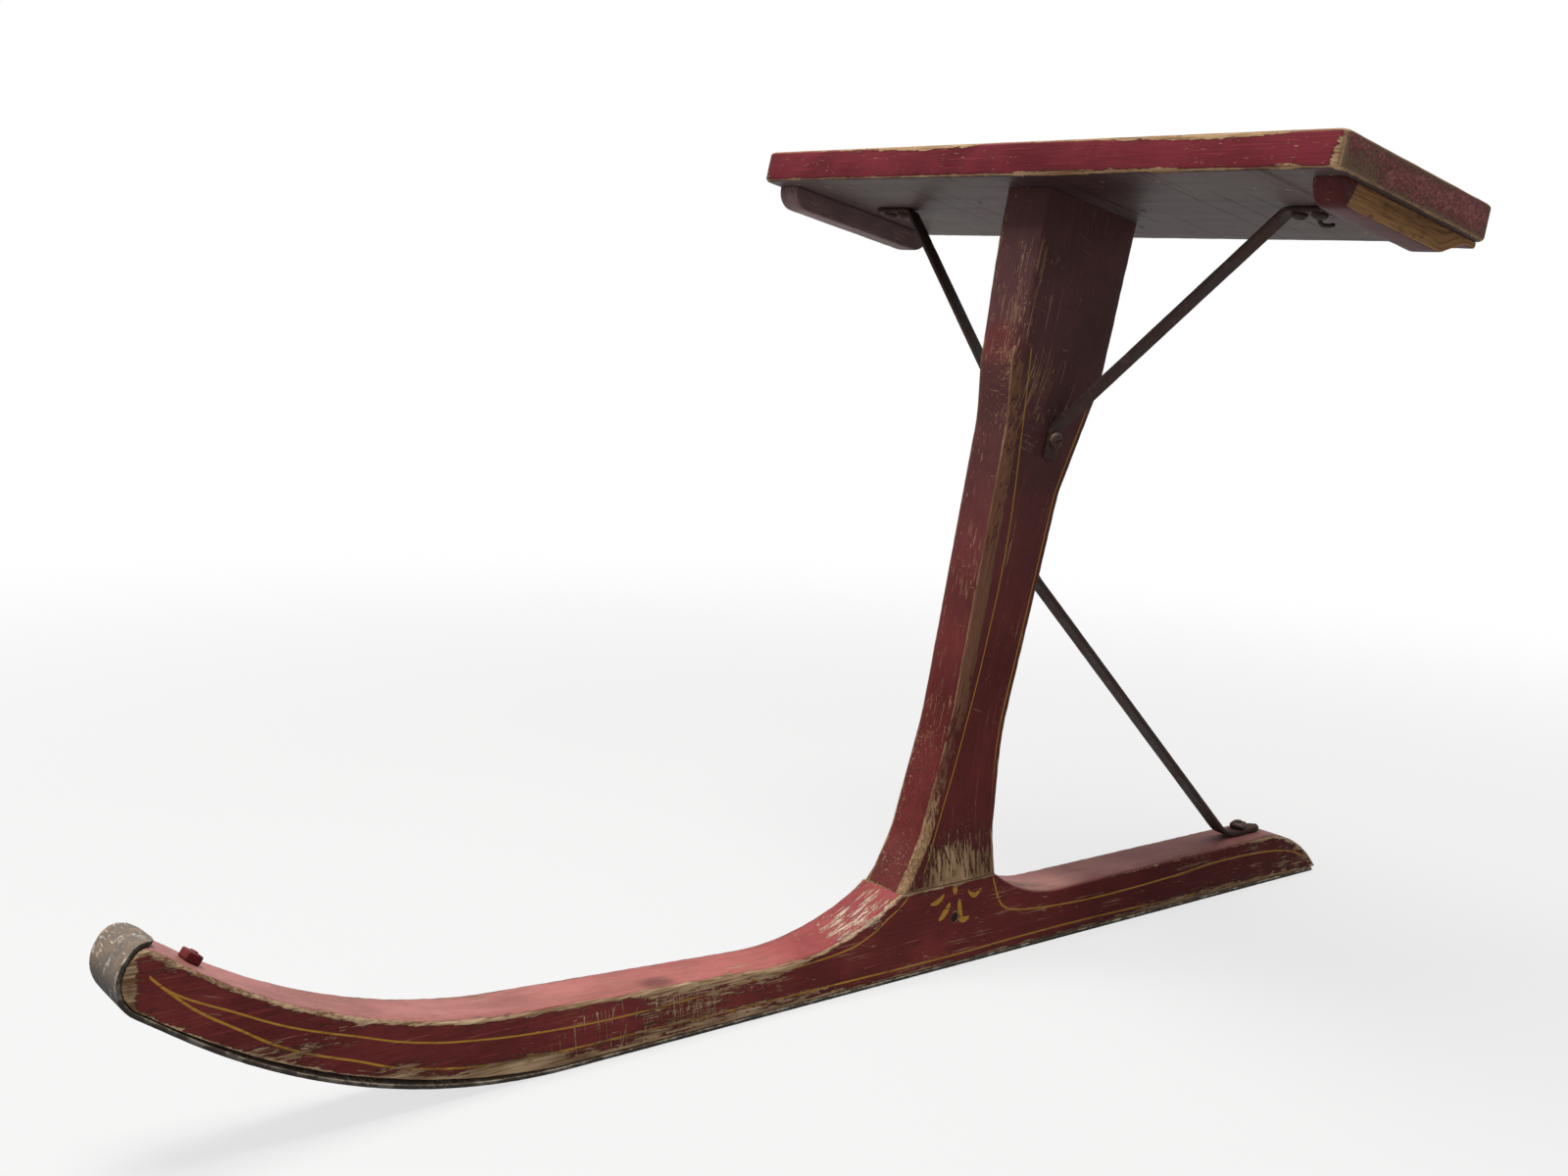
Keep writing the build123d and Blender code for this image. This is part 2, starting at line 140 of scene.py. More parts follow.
# %% A finish and its nodes
class Finish:
    """A material, or the world, whose nodes are made with one method."""

    def __init__(self, name, kind=bpy.data.materials):
        self.data = kind.new(name)
        self.data.use_nodes = True
        self.tree = self.data.node_tree

    def node(self, kind, settings=None, inputs=(), out=0):
        """Makes a node, feeds its inputs and gives one of its outputs as a wire."""
        made = self.tree.nodes.new("ShaderNode" + kind)
        for key, value in (settings or {}).items():
            if key == "points":
                self.set_points(made, value)
            else:
                setattr(made, key, value)
        pairs = inputs.items() if isinstance(inputs, dict) else enumerate(inputs)
        for key, value in pairs:
            self.feed(made.inputs[key], value)
        return Wire(self, made.outputs[out])

    def set_points(self, made, points):
        """Puts a Float Curve node's points at x, y pairs between 0 and 1."""
        line = made.mapping.curves[0]
        while len(line.points) < len(points):
            line.points.new(0.5, 0.5)
        for point, place in zip(line.points, points):
            point.location = place
        made.mapping.update()

    def feed(self, socket, value):
        """Links a wire to a socket, or sets the socket to a plain value."""
        if isinstance(value, Wire):
            self.tree.links.new(value.socket, socket)
        elif isinstance(value, tuple) and len(value) == 3 and socket.type == "RGBA":
            socket.default_value = (*value, 1.0)
        else:
            socket.default_value = value

    def mix(self, factor, first, second):
        """A colour between two others."""
        settings = {"data_type": "RGBA"}
        return self.node("Mix", settings, {0: factor, 6: first, 7: second}, out=2)

    def shade(self, colour, amount):
        """A colour made darker or lighter by a number."""
        bright = self.node("CombineColor", None, [amount, amount, amount])
        settings = {"data_type": "RGBA", "blend_type": "MULTIPLY"}
        return self.node("Mix", settings, {0: 1.0, 6: colour, 7: bright}, out=2)

    def stretch(self, place, along, across, deep):
        """Coordinates scaled by three numbers, so that a pattern runs along the grain."""
        return self.node("VectorMath", {"operation": "MULTIPLY"}, [place, (along, across, deep)])

    def cloud(self, place, scale=1.0, detail=4.0, rough=0.55, twist=0.0):
        """Soft noise round a half."""
        inputs = {
            "Vector": place, "Scale": scale, "Detail": detail,
            "Roughness": rough, "Distortion": twist,
        }
        return self.node("TexNoise", None, inputs)

    def fibres(self, grain, along, across, detail, rough, twist=0.0):
        """Noise drawn out along the grain, with so many waves per metre along and across."""
        return self.cloud(self.stretch(grain, along, across, across), 1.0, detail, rough, twist)

    def kept(self, name, out="Fac"):
        """A number or vector that the mesh carries at each of its points."""
        return self.node("Attribute", {"attribute_name": name}, out=out)

    def kept_mm(self, name):
        """A length that the mesh carries at each of its points, in millimetres."""
        return self.kept(name) * (1 / MM)

    def place(self):
        """Object coordinates, in metres, the same as the frame's."""
        return self.node("TexCoord", out="Object")

    def axes(self, vector):
        """The three numbers of a vector."""
        separate = self.node("SeparateXYZ", None, [vector]).socket.node
        return [Wire(self, socket) for socket in separate.outputs]

    def facing(self):
        """The three numbers of the direction that the surface faces."""
        return self.axes(self.node("NewGeometry", out="Normal"))

    def bump(self, height, depth, strength=1.0):
        """A bumped normal from a height between 0 and 1 and its depth in metres."""
        inputs = {"Height": height, "Distance": depth, "Strength": strength}
        return self.node("Bump", None, inputs)

    def finish_with(self, **sockets):
        """Feeds the Principled shader: base_color=..., roughness=... and so on."""
        names = {"base_color": "Base Color", "roughness": "Roughness", "metallic": "Metallic",
                 "normal": "Normal", "specular": "Specular IOR Level"}
        shader = self.tree.nodes["Principled BSDF"]
        for key, value in sockets.items():
            self.feed(shader.inputs[names[key]], value)
        print("finish", self.data.name, "has", len(self.tree.nodes), "nodes")
        return self.data

    def end_with(self, shader):
        """Sends a shader to the output, in place of the one that was linked there."""
        output = next(node for node in self.tree.nodes if node.type.startswith("OUTPUT"))
        self.feed(output.inputs["Surface"], shader)


# %% [markdown]
# ## Floor, world and lamps
# The picture is a cut-out on white. Soft light from a large panel above and ahead makes the
# upward faces bright and leaves the near sides dark, as they are there. The white comes from
# Light Path: only camera, mirror and glass rays see a white world, and the wood is lit by a
# much dimmer one.

# %% World
ROOM_LIGHT = 0.15


def seen_rays(finish):
    """1 for camera, mirror and glass rays, 0 for the light that falls on things."""
    names = ("Is Camera Ray", "Is Glossy Ray", "Is Transmission Ray")
    straight, mirrored, through = (finish.node("LightPath", out=name) for name in names)
    return straight.most(mirrored).most(through)


world = Finish("studio", bpy.data.worlds)
bpy.context.scene.world = world.data
backdrop = world.node("Background", None, {"Color": (1.0, 1.0, 1.0)})
room = world.node("Background", None, {"Color": (0.9, 0.95, 1.0), "Strength": ROOM_LIGHT})
world.end_with(world.node("MixShader", None, [seen_rays(world), room, backdrop]))
print("world lights the sled at", ROOM_LIGHT)


# %% [markdown]
# The floor is a plain pale sheet that keeps the sled's soft shadow. Away from the sled it
# turns into the same white as the world, so that no horizon shows.

# %% Floor
def make_floor(size=12.0):
    mesh = bpy.data.meshes.new("floor")
    corners = [(-size, -size, 0), (size, -size, 0), (size, size, 0), (-size, size, 0)]
    mesh.from_pydata(corners, [], [(0, 1, 2, 3)])
    floor = bpy.data.objects.new("floor", mesh)
    bpy.context.scene.collection.objects.link(floor)
    pale = Finish("pale_floor")
    x, y, _ = pale.axes(pale.place())
    away = (x * x + y * y).maths("SQRT").step(0.5, 1.7, 0.72, 1.0)
    white = pale.node("Emission", None, {"Color": (1.0, 1.0, 1.0), "Strength": 1.0})
    pale.finish_with(base_color=(0.7, 0.7, 0.7), roughness=0.9, specular=0.0)
    sheet = Wire(pale, pale.tree.nodes["Principled BSDF"].outputs[0])
    pale.end_with(pale.node("MixShader", None, [seen_rays(pale) * away, sheet, white]))
    mesh.materials.append(pale.data)
    return floor


make_floor()


# %% Lamps
def soft_panel(name, place, aim, size, power, colour=(1.0, 1.0, 1.0)):
    """A square area lamp that faces a point."""
    data = bpy.data.lights.new(name, "AREA")
    data.shape = "SQUARE"
    data.size = size
    data.energy = power
    data.color = colour
    lamp = bpy.data.objects.new(name, data)
    place = Vector(place)
    facing = (Vector(aim) - place).to_track_quat("-Z", "Y").to_matrix().to_4x4()
    lamp.matrix_world = Matrix.Translation(place) @ facing
    bpy.context.scene.collection.objects.link(lamp)
    print("lamp", name, power, "W")


soft_panel("panel_above", (0.45, -0.15, 2.1), (0.0, 0.0, 0.1), 1.1, 40.0, (1.0, 0.98, 0.95))
soft_panel("panel_front", (1.9, 0.1, 0.9), (0.0, 0.0, 0.2), 1.2, 5.0)
soft_panel("panel_side", (0.5, 2.0, 0.7), (0.0, 0.0, 0.2), 1.2, 2.0)

# %% [markdown]
# ## Outlines with rounded corners
# The side views of the runner, the post and the iron straps are straight runs joined by
# arcs, as a maker would draw them. One helper turns such corners into points close enough
# together to look smooth, and another spreads points evenly along a line.

# %% Outline helpers
def rounded_path(corners, spacing=2.5 * MM):
    """Points along straight runs whose corners, given as (x, z, radius), are arcs."""
    points = [Vector(corners[0][:2])]
    for before, here, after in zip(corners, corners[1:], corners[2:]):
        middle = Vector(here[:2])
        to_last = (Vector(before[:2]) - middle).normalized()
        to_next = (Vector(after[:2]) - middle).normalized()
        angle = to_last.angle(to_next)
        if here[2] <= 0 or angle > math.pi - 1e-3:
            points.append(middle)
            continue
        reach = here[2] / math.tan(angle / 2)
        centre = middle + (to_last + to_next).normalized() * here[2] / math.sin(angle / 2)
        start, end = middle + to_last * reach, middle + to_next * reach
        sweep = (start - centre).angle_signed(end - centre)
        count = max(3, int(abs(sweep) * here[2] / spacing))
        for i in range(count + 1):
            turned = Matrix.Rotation(-sweep * i / count, 2) @ (start - centre)
            points.append(centre + turned)
    points.append(Vector(corners[-1][:2]))
    return points


def spread(points, count):
    """That many points, evenly spaced along a line of points."""
    lengths = [0.0]
    for a, b in zip(points, points[1:]):
        lengths.append(lengths[-1] + (b - a).length)
    made, k = [], 0
    for i in range(count):
        at = lengths[-1] * i / (count - 1)
        while k < len(points) - 2 and lengths[k + 1] < at:
            k += 1
        run = max(lengths[k + 1] - lengths[k], 1e-9)
        made.append(points[k].lerp(points[k + 1], min(1.0, (at - lengths[k]) / run)))
    return made


# %% [markdown]
# ## Lofting wood from cross-sections
# Worn wood has no sharp edges. The runner, the post and the cleats are therefore stacks of
# cross-sections, all with the same number of points: a rectangle with its corners rounded
# or chamfered, set between two lines of the side view. Every point also keeps what the
# finish will need: how far it is from the nearest edge, where paint wears first, and from
# the low and the high edges, and its place along, across and through the grain.

# %% Cross-sections
CORNER_STEPS = 5


def section(depth, half, corners, side_steps, flat_steps):
    """A ring of (u, y) points: u runs 0 to depth, y runs -half to half.
    corners: (radius, flatness) for the low and the high edge; flatness 1 is a chamfer."""
    (low_round, low_flat), (high_round, high_flat) = corners
    limit = 0.49 * depth  # so that two corners always fit one above the other
    low_round, high_round = min(low_round, limit), min(high_round, limit)
    ring = []

    def corner(u0, y0, radius, flatness, start):
        def on_arc(angle):
            return Vector((u0 + radius * math.cos(angle), y0 + radius * math.sin(angle)))

        first, last = on_arc(start), on_arc(start + math.pi / 2)
        for i in range(CORNER_STEPS + 1):
            part = i / CORNER_STEPS
            arc = on_arc(start + math.pi / 2 * part)
            ring.append(arc.lerp(first.lerp(last, part), flatness))

    def run(last, count):
        first = ring[-1]
        for i in range(1, count):
            ring.append(first.lerp(last, i / count))

    corner(depth - high_round, half - high_round, high_round, high_flat, 0.0)
    run(Vector((low_round, half)), side_steps)
    corner(low_round, half - low_round, low_round, low_flat, math.pi / 2)
    run(Vector((0.0, low_round - half)), flat_steps)
    corner(low_round, low_round - half, low_round, low_flat, math.pi)
    run(Vector((depth - high_round, -half)), side_steps)
    corner(depth - high_round, high_round - half, high_round, high_flat, math.pi * 1.5)
    run(Vector((depth, half - high_round)), flat_steps)
    return ring


# %% Loft
ROUND_SHARE = 0.55  # a rounded edge lies about this share of its radius inside the corner


def station(low, high, half, along, *corners):
    """Where one cross-section goes: low and high are points of the side view, half is half
    the width, and along is the place along the grain."""
    return {"low": low, "high": high, "half": half, "along": along, "corners": corners}


def loft(name, stations, side_steps=6, flat_steps=8, sawn=False):
    """A closed mesh through stations. A sawn piece's grain stays level where it bends."""
    points, faces, rim, grain, low_edge, high_edge = [], [], [], [], [], []
    ends = (stations[0]["along"], stations[-1]["along"])
    for here in stations:
        low, high, half, along = here["low"], here["high"], here["half"], here["along"]
        depth = (high - low).length
        up = (high - low) / max(depth, 1e-9)
        from_end = min(abs(along - ends[0]), abs(along - ends[1]))
        ring = section(depth, half, here["corners"], side_steps, flat_steps)
        for u, y in ring:
            at = low + up * u
            points.append((at.x, y, at.y))
            inward = half - abs(y)
            worn_in = ROUND_SHARE * here["corners"][0 if u < depth / 2 else 1][0]
            edge = max(0.0, min(depth - u, u) + inward - worn_in)
            rim.append(min(edge, from_end + min(inward, u, depth - u)))
            low_edge.append(u + inward)
            high_edge.append(depth - u + inward)
            grain.append((at.x, y, at.y) if sawn else (along, y, u))
    size = len(ring)
    for i in range(len(stations) - 1):
        for j in range(size):
            k = (j + 1) % size
            a, b = i * size, (i + 1) * size
            faces.append((a + j, a + k, b + k, b + j))
    faces.append(tuple(range(size))[::-1])
    faces.append(tuple(range(len(points) - size, len(points))))
    kept = {"rim": rim, "low": low_edge, "high": high_edge}
    return make_piece(name, points, faces, kept, grain)


# %% A mesh that keeps numbers
def make_piece(name, points, faces, numbers, grain):
    """A smooth mesh object that keeps numbers and a grain vector at its points."""
    mesh = bpy.data.meshes.new(name)
    mesh.from_pydata(points, [], faces)
    turned_out = bmesh.new()
    turned_out.from_mesh(mesh)
    bmesh.ops.recalc_face_normals(turned_out, faces=turned_out.faces)
    turned_out.to_mesh(mesh)
    turned_out.free()
    for key, values in numbers.items():
        mesh.attributes.new(key, "FLOAT", "POINT").data.foreach_set("value", values)
    flat = [c for vector in grain for c in vector]
    mesh.attributes.new("grain", "FLOAT_VECTOR", "POINT").data.foreach_set("vector", flat)
    mesh.polygons.foreach_set("use_smooth", [True] * len(mesh.polygons))
    mesh.update()
    piece = bpy.data.objects.new(name, mesh)
    bpy.context.scene.collection.objects.link(piece)
    return piece


# %% [markdown]
# Even surfaces look new. Each piece is therefore sunk a little by noise, and more along its
# edges. Then it is dressed: it gets its finish, rides on the sled's one body, and stands in
# for the CAD nodes that it replaces.

# %% Weathering and dressing
EDGE_REACH = 2.5 * MM
SHARP_ANGLE = math.radians(48)


def weather(piece, everywhere, at_edges, scale):
    """Sinks the surface unevenly, by up to two depths, with so many bumps per metre."""
    mesh = piece.data
    rims = [0.0] * len(mesh.vertices)
    mesh.attributes["rim"].data.foreach_get("value", rims)
    places = [v.co.copy() for v in mesh.vertices]
    normals = [v.normal.copy() for v in mesh.vertices]
    for vertex, at, normal, rim in zip(mesh.vertices, places, normals, rims):
        broad = 0.5 + 0.5 * noise.noise(at * scale)
        fine = 0.5 + 0.5 * noise.noise(at * scale * 3.1 + Vector((7.0, 3.0, 1.0)))
        worn = everywhere * broad + at_edges * fine * math.exp(-rim / EDGE_REACH)
        vertex.co = at - normal * worn
    mesh.update()


def dress(piece, finish, slot, *replaced, crisp=True):
    """Gives a piece its finish, its body and the CAD nodes it stands for. The slot argument
    is not used. Its sharp edges are shaded crisply, but for the smallest nails."""
    piece.data.materials.append(finish)
    if crisp:
        piece.data.set_sharp_from_angle(angle=SHARP_ANGLE)
    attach(piece, "root")
    if replaced:
        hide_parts(*replaced)
    print(piece.name, "has", len(piece.data.polygons), "faces")


# %% [markdown]
# ## Old paint over bare wood
# A painted tool wears by rules: first along its edges, then where it is rubbed or knocked,
# and always in long splinters that follow the grain. A picture of worn paint would be quick,
# but it stretches and repeats. Here noise is stretched along the grain, and a wear level is
# added to it. Where the sum passes one, the paint is gone. The level comes from the distance
# to the edge that each mesh keeps, and from a few given soft spots.

# %% Wood, spots and scratches
OCHRE = (0.56, 0.29, 0.045)
# GRIME_AND_SHADE is the colour of grime, and also of painted shade.
WOOD_PALE, WOOD_DEEP, GRIME_AND_SHADE = (0.52, 0.34, 0.19), (0.17, 0.09, 0.045), (0.045, 0.018, 0.014)


def bare_wood(finish, grain, pale, deep):
    """Weathered wood: fine fibres along the grain, in bands. Returns colour and fibres."""
    fibre = finish.fibres(grain, 40, 1000, 5.0, 0.62)
    band = finish.fibres(grain, 9, 110, 3.0, 0.5, 0.4)
    shade = (fibre * 0.6 + band * 0.4).step(0.38, 0.62)
    return finish.mix(shade, deep, pale), fibre


def spot(finish, place, centre, radii):
    """1 in the middle of a soft spot, 0 outside it. Centre and radii are in millimetres."""
    moved = finish.node("VectorMath", {"operation": "SUBTRACT"},
                        [place, tuple(c * MM for c in centre)])
    scaled = finish.stretch(moved, *(1 / (r * MM) for r in radii))
    far = finish.node("VectorMath", {"operation": "LENGTH"}, [scaled], out="Value")
    return far.step(0.25, 1.0, 1.0, 0.0)


def scratches(finish, place, tilt, rare):
    """Thin straight marks that run at an angle in the side view."""
    settings = {"rotation_type": "Y_AXIS"}
    turned = finish.node("VectorRotate", settings, {"Vector": place, "Angle": tilt})
    line = finish.cloud(finish.stretch(turned, 35, 180, 1300), 1.0, 1.0, 0.4)
    where = finish.cloud(place, 28.0, 2.0)
    return (line + where * 0.35).step(rare, rare + 0.035)


# %% The paint itself
def old_paint(name, paint, dust_and_sheen, seed, wear=0.27, edge=1.0, flecks=0.0, spots=(), extra=None,
              line=None, layers=(), wood_tones=(), low_edge=1.0, pale=WOOD_PALE, deep=WOOD_DEEP):
    """Worn paint. dust_and_sheen: the colour of what faces up, faded paint with a painted sheen
    from the light above, or a function that gives it.
    flecks: more (above 0) or fewer small chips. spots: (centre, radii, amount) of more wear,
    in millimetres. extra and line: functions that give further wear and painted striping.
    layers: (function, colour) pairs of stains and painted shade over the paint, and
    wood_tones of stains on the bare wood. low_edge: how much of the wear the lower edges get."""
    finish = Finish(name)
    place = finish.place()
    kept = finish.kept("grain", "Vector")
    grain = finish.node("VectorMath", {"operation": "ADD"}, [kept, (seed, seed * 0.7, 0.0)])
    rim = finish.kept_mm("rim")
    up = finish.facing()[2]
    wood, fibre = bare_wood(finish, grain, pale, deep)

    # Where the paint is gone: chips, edges, soft spots, then scratches and specks.
    lower = (finish.kept("low") - finish.kept("high")).step_mm(-8, 0, low_edge, 1.0)
    chips = finish.fibres(grain, 90, 600, 7.0, 0.68, 0.5)
    close = rim.falling(1.3) * lower * (0.44 * edge)
    patchy = finish.cloud(place, 34.0, 3.0).step(0.36, 0.66, 0.2, 2.0)
    beside = rim.falling(0.3) * patchy * lower * (0.14 * edge)
    here = 0.0
    for centre, radii, amount in spots:
        here = spot(finish, place, centre, radii) * amount + here
    level = chips + close + beside + wear + here
    if extra:
        level = level + extra(finish, place, rim)
    bare = level.step(0.985, 1.02)
    marks = scratches(finish, place, 1.2, 0.97).most(scratches(finish, place, 0.35, 0.92))
    specks = finish.fibres(grain, 170, 1300, 2.0, 0.5)
    cluster = finish.cloud(place, 26.0, 3.0)
    specks = (specks + cluster * 0.45 + here * 0.3 + flecks).step(0.93, 0.96)
    hair = finish.fibres(grain, 22, 900, 2.0, 0.5)
    fine = (hair + cluster * 0.5 + flecks).step(0.925, 0.960)
    bare = bare.most(marks * 0.6).most(specks * 0.8).most(fine * 0.5)

    # The paint that is left: patchy, paler on top from fading and a painted sheen, stained and
    # painted with shade, lined, and dark beside the wear.
    broad = finish.cloud(place, 17.0, 4.0, 0.6, 0.3)
    coat = finish.mix(broad.step(0.35, 0.68), finish.shade(paint, 0.74), finish.shade(paint, 1.2))
    coat = finish.shade(coat, fibre * 0.9 + 0.55)
    # Thin light lines along the grain: dust in the grain, and painted glints.
    coat = finish.mix(hair.step(0.60, 0.70) * 0.28, coat, finish.shade(paint, 2.6))
    dust = finish.fibres(grain, 14, 130, 6.0, 0.65, 0.5)
    # Faded paint, and a painted sheen, on what faces up.
    faded_and_lit = up.step(0.3, 0.92) * (dust * 0.6 + broad * 0.4).step(0.34, 0.62, 0.6, 1.0)
    pink = dust_and_sheen(finish, place) if callable(dust_and_sheen) else dust_and_sheen
    coat = finish.mix(faded_and_lit, coat, finish.shade(pink, broad * 0.5 + 0.75))
    # Stains, and painted shade and shadow, laid over the paint.
    for mask, tone in layers:
        stain_and_shade = finish.shade(tone, broad * 0.6 + fibre * 0.6 + 0.4)
        coat = finish.mix(mask(finish, place), coat, stain_and_shade)
    if line:
        there = line(finish, place) * fibre.step(0.30, 0.42)
        coat = finish.mix(there, coat, finish.shade(OCHRE, fibre * 0.6 + 0.6))
    dark = level.step(0.86, 0.975) * (1 - faded_and_lit * 0.6)
    coat = finish.mix(dark * 0.62, coat, GRIME_AND_SHADE)

    # The bare wood, dirty and stained. Paint stands a little higher than it.
    dirt = finish.cloud(place, 120.0, 5.0, 0.6).step(0.55, 0.75)
    wood = finish.mix(dirt * 0.55, wood, GRIME_AND_SHADE)
    for mask, tone in wood_tones:
        wood = finish.mix(mask(finish, place), wood, finish.shade(tone, fibre * 0.9 + 0.55))
    height = (1 - bare) * 0.55 + fibre * 0.45
    return finish.finish_with(
        base_color=finish.mix(bare, coat, wood),
        roughness=bare * 0.24 + dust * 0.22 + 0.36,
        normal=finish.bump(height, 0.25 * MM, 0.8),
        specular=0.05,
    )


def sideways(finish):
    """How much a surface faces left or right, 0 to 1."""
    return abs(finish.facing()[1])


# %% [markdown]
# ## Lining and the small flower
# Sign painters call thin hand-drawn stripes lining. Each stripe follows the runner's outline
# a little way in, with a brush's width of under two millimetres. A Float Curve node holds
# the stripe's height over the length, and the distance to it is corrected for the slope, so
# that the width stays even. The flower is a few brush strokes: each is a leaf that tapers
# at both ends and may be bowed.

# %% Stripe and leaf helpers
SPAN, RISE, SLOPE_STEP = 0.9, 0.12, 0.002


def stripe(finish, x, z, points, width, start, end):
    """1 on a line of given width (mm) through points (x, z) in mm, between two values of x.
    The curve node works between 0 and 1, for SPAN of length and RISE of height in metres."""
    places = [((px * MM) / SPAN + 0.5, (pz * MM) / RISE) for px, pz in sorted(points)]
    here, ahead = (
        finish.node("FloatCurve", {"points": places}, {"Value": x / SPAN + at})
        for at in (0.5, 0.5 + SLOPE_STEP)
    )
    slope = (ahead - here) * (RISE / (SLOPE_STEP * SPAN))
    off = abs(z - here * RISE) / (slope * slope + 1).maths("SQRT")
    inside = off.step_mm(0.3 * width, 0.6 * width, 1.0, 0.0)
    return inside * x.step_mm(start, start + 1) * x.step_mm(end - 1, end, 1.0, 0.0)


def leaf(x, z, tail, tip, bow, fat):
    """A brush stroke from tail to tip, in mm; bow and fat are parts of its length."""
    run = Vector(tip) - Vector(tail)
    size = run.length * MM
    dx, dz = x - tail[0] * MM, z - tail[1] * MM
    u = (dx * (run.x / run.length) + dz * (run.y / run.length)) / size
    v = (dz * (run.x / run.length) - dx * (run.y / run.length)) / size
    round_off = u * (1 - u)
    inside = round_off.most(0.0).maths("SQRT") * (2 * fat) - abs(v - round_off * (4 * bow))
    return inside.step(0.0, 0.04)


# %% [markdown]
# ## The runner
# The runner is one stick of hardwood. Its underside is straight and then bends up to the
# nose. The top follows it, rises to a boss under the post, dips behind it, and rounds down
# to the rear toe. For every point of the underside, the top point straight above it along
# the underside's normal gives the other end of the cross-section.

# %% Runner outline
HALF_LENGTH, RUNNER_HALF = 426.25 * MM, 17.5 * MM
SHOE_GAP, SHOE_THICK, SHOE_LAP = 0.3 * MM, 2.5 * MM, 10.5 * MM
SOLE = SHOE_THICK
NOSE_RISE = math.radians(35.0)
SOLE_BEND, TOP_BEND = 385.0 * MM, 325.0 * MM
NOSE_THICK, NOSE_ROUND, NOSE_LIP = 26.0 * MM, 16.0 * MM, 7.0 * MM
NOSE_LENGTH = SOLE_BEND * math.tan(NOSE_RISE / 2) + 27.5 * MM
REAR_TOP, JOINT = 33.8 * MM, 53.0 * MM
JOINT_FRONT, JOINT_BACK = -22.5 * MM, -99.5 * MM
TOE_LENGTH, TOE_STOP = 60.0 * MM, 2.0 * MM
nose_out = NOSE_ROUND + SHOE_GAP + SHOE_THICK
BEND_X = HALF_LENGTH - nose_out - (NOSE_LENGTH - NOSE_ROUND) * math.cos(NOSE_RISE)
BEND_X += NOSE_ROUND * math.sin(NOSE_RISE)


def on_nose(along, up):
    """A point along the nose's slope and square to it, from the corner of the bend."""
    rise_cos, rise_sin = math.cos(NOSE_RISE), math.sin(NOSE_RISE)
    return (BEND_X + along * rise_cos - up * rise_sin, SOLE + along * rise_sin + up * rise_cos)


def crossing(point_a, slope_a, point_b, slope_b):
    """Where two sloping lines meet."""
    x = (point_b[1] - point_a[1] + slope_a * point_a[0] - slope_b * point_b[0])
    x /= slope_a - slope_b
    return (x, point_a[1] + slope_a * (x - point_a[0]))


waist, arm_slope = (75.0 * MM, 27.6 * MM), math.tan(math.radians(3.3))
boss = crossing((JOINT_FRONT, JOINT), -math.tan(math.radians(31.5)), waist, arm_slope)
bend_top = crossing(waist, arm_slope, on_nose(0, NOSE_THICK), math.tan(NOSE_RISE))
scoop_x = JOINT_BACK - (JOINT - REAR_TOP) / math.tan(math.radians(36.0))
runner_top = rounded_path([
    (JOINT_FRONT, JOINT, 0), (*boss, 165 * MM), (*bend_top, TOP_BEND),
    (*on_nose(NOSE_LENGTH, NOSE_THICK), NOSE_LIP), (*on_nose(NOSE_LENGTH, NOSE_THICK / 2), 0),
])
runner_scoop = rounded_path([
    (TOE_LENGTH - HALF_LENGTH, REAR_TOP, 0), (scoop_x, REAR_TOP, 97 * MM), (JOINT_BACK, JOINT, 0),
])
runner_sole = rounded_path([
    (-HALF_LENGTH, SOLE, 0), (BEND_X, SOLE, SOLE_BEND),
    (*on_nose(NOSE_LENGTH, 0), NOSE_ROUND), (*on_nose(NOSE_LENGTH, NOSE_THICK / 2), 0),
])
print("runner top has", len(runner_top), "points, its sole", len(runner_sole))


# %% The toe
def toe_points(count=30):
    """The rear end's rounding: an arc that is level at its top and stops above the sole."""
    drop = REAR_TOP - SOLE - TOE_STOP
    radius = (TOE_LENGTH ** 2 + drop ** 2) / (2 * drop)
    sweep = math.asin(TOE_LENGTH / radius)
    top = Vector((TOE_LENGTH - HALF_LENGTH, REAR_TOP))
    angles = [sweep * (1 - i / count) for i in range(count)]
    return [top - Vector((math.sin(a), 1 - math.cos(a))) * radius for a in angles]


whole_top = toe_points() + runner_scoop + runner_top
print("toe ends", whole_top[0] / MM)


# %% Runner stations
def hit(origin, direction, line):
    """The first place where a ray from a point meets a line of points."""
    best = None
    for a, b in zip(line, line[1:]):
        run = b - a
        cross = direction.x * run.y - direction.y * run.x
        if abs(cross) < 1e-12:
            continue
        gap = a - origin
        far = (gap.x * run.y - gap.y * run.x) / cross
        part = (gap.x * direction.y - gap.y * direction.x) / cross
        if -1e-6 <= part <= 1 + 1e-6 and far > 1e-5 and (best is None or far < best):
            best = far
    return origin + direction * best


def fade(value, low, high):
    """Smooth step between two values, for numbers worked out in Python."""
    t = min(1.0, max(0.0, (value - low) / (high - low)))
    return t * t * (3 - 2 * t)


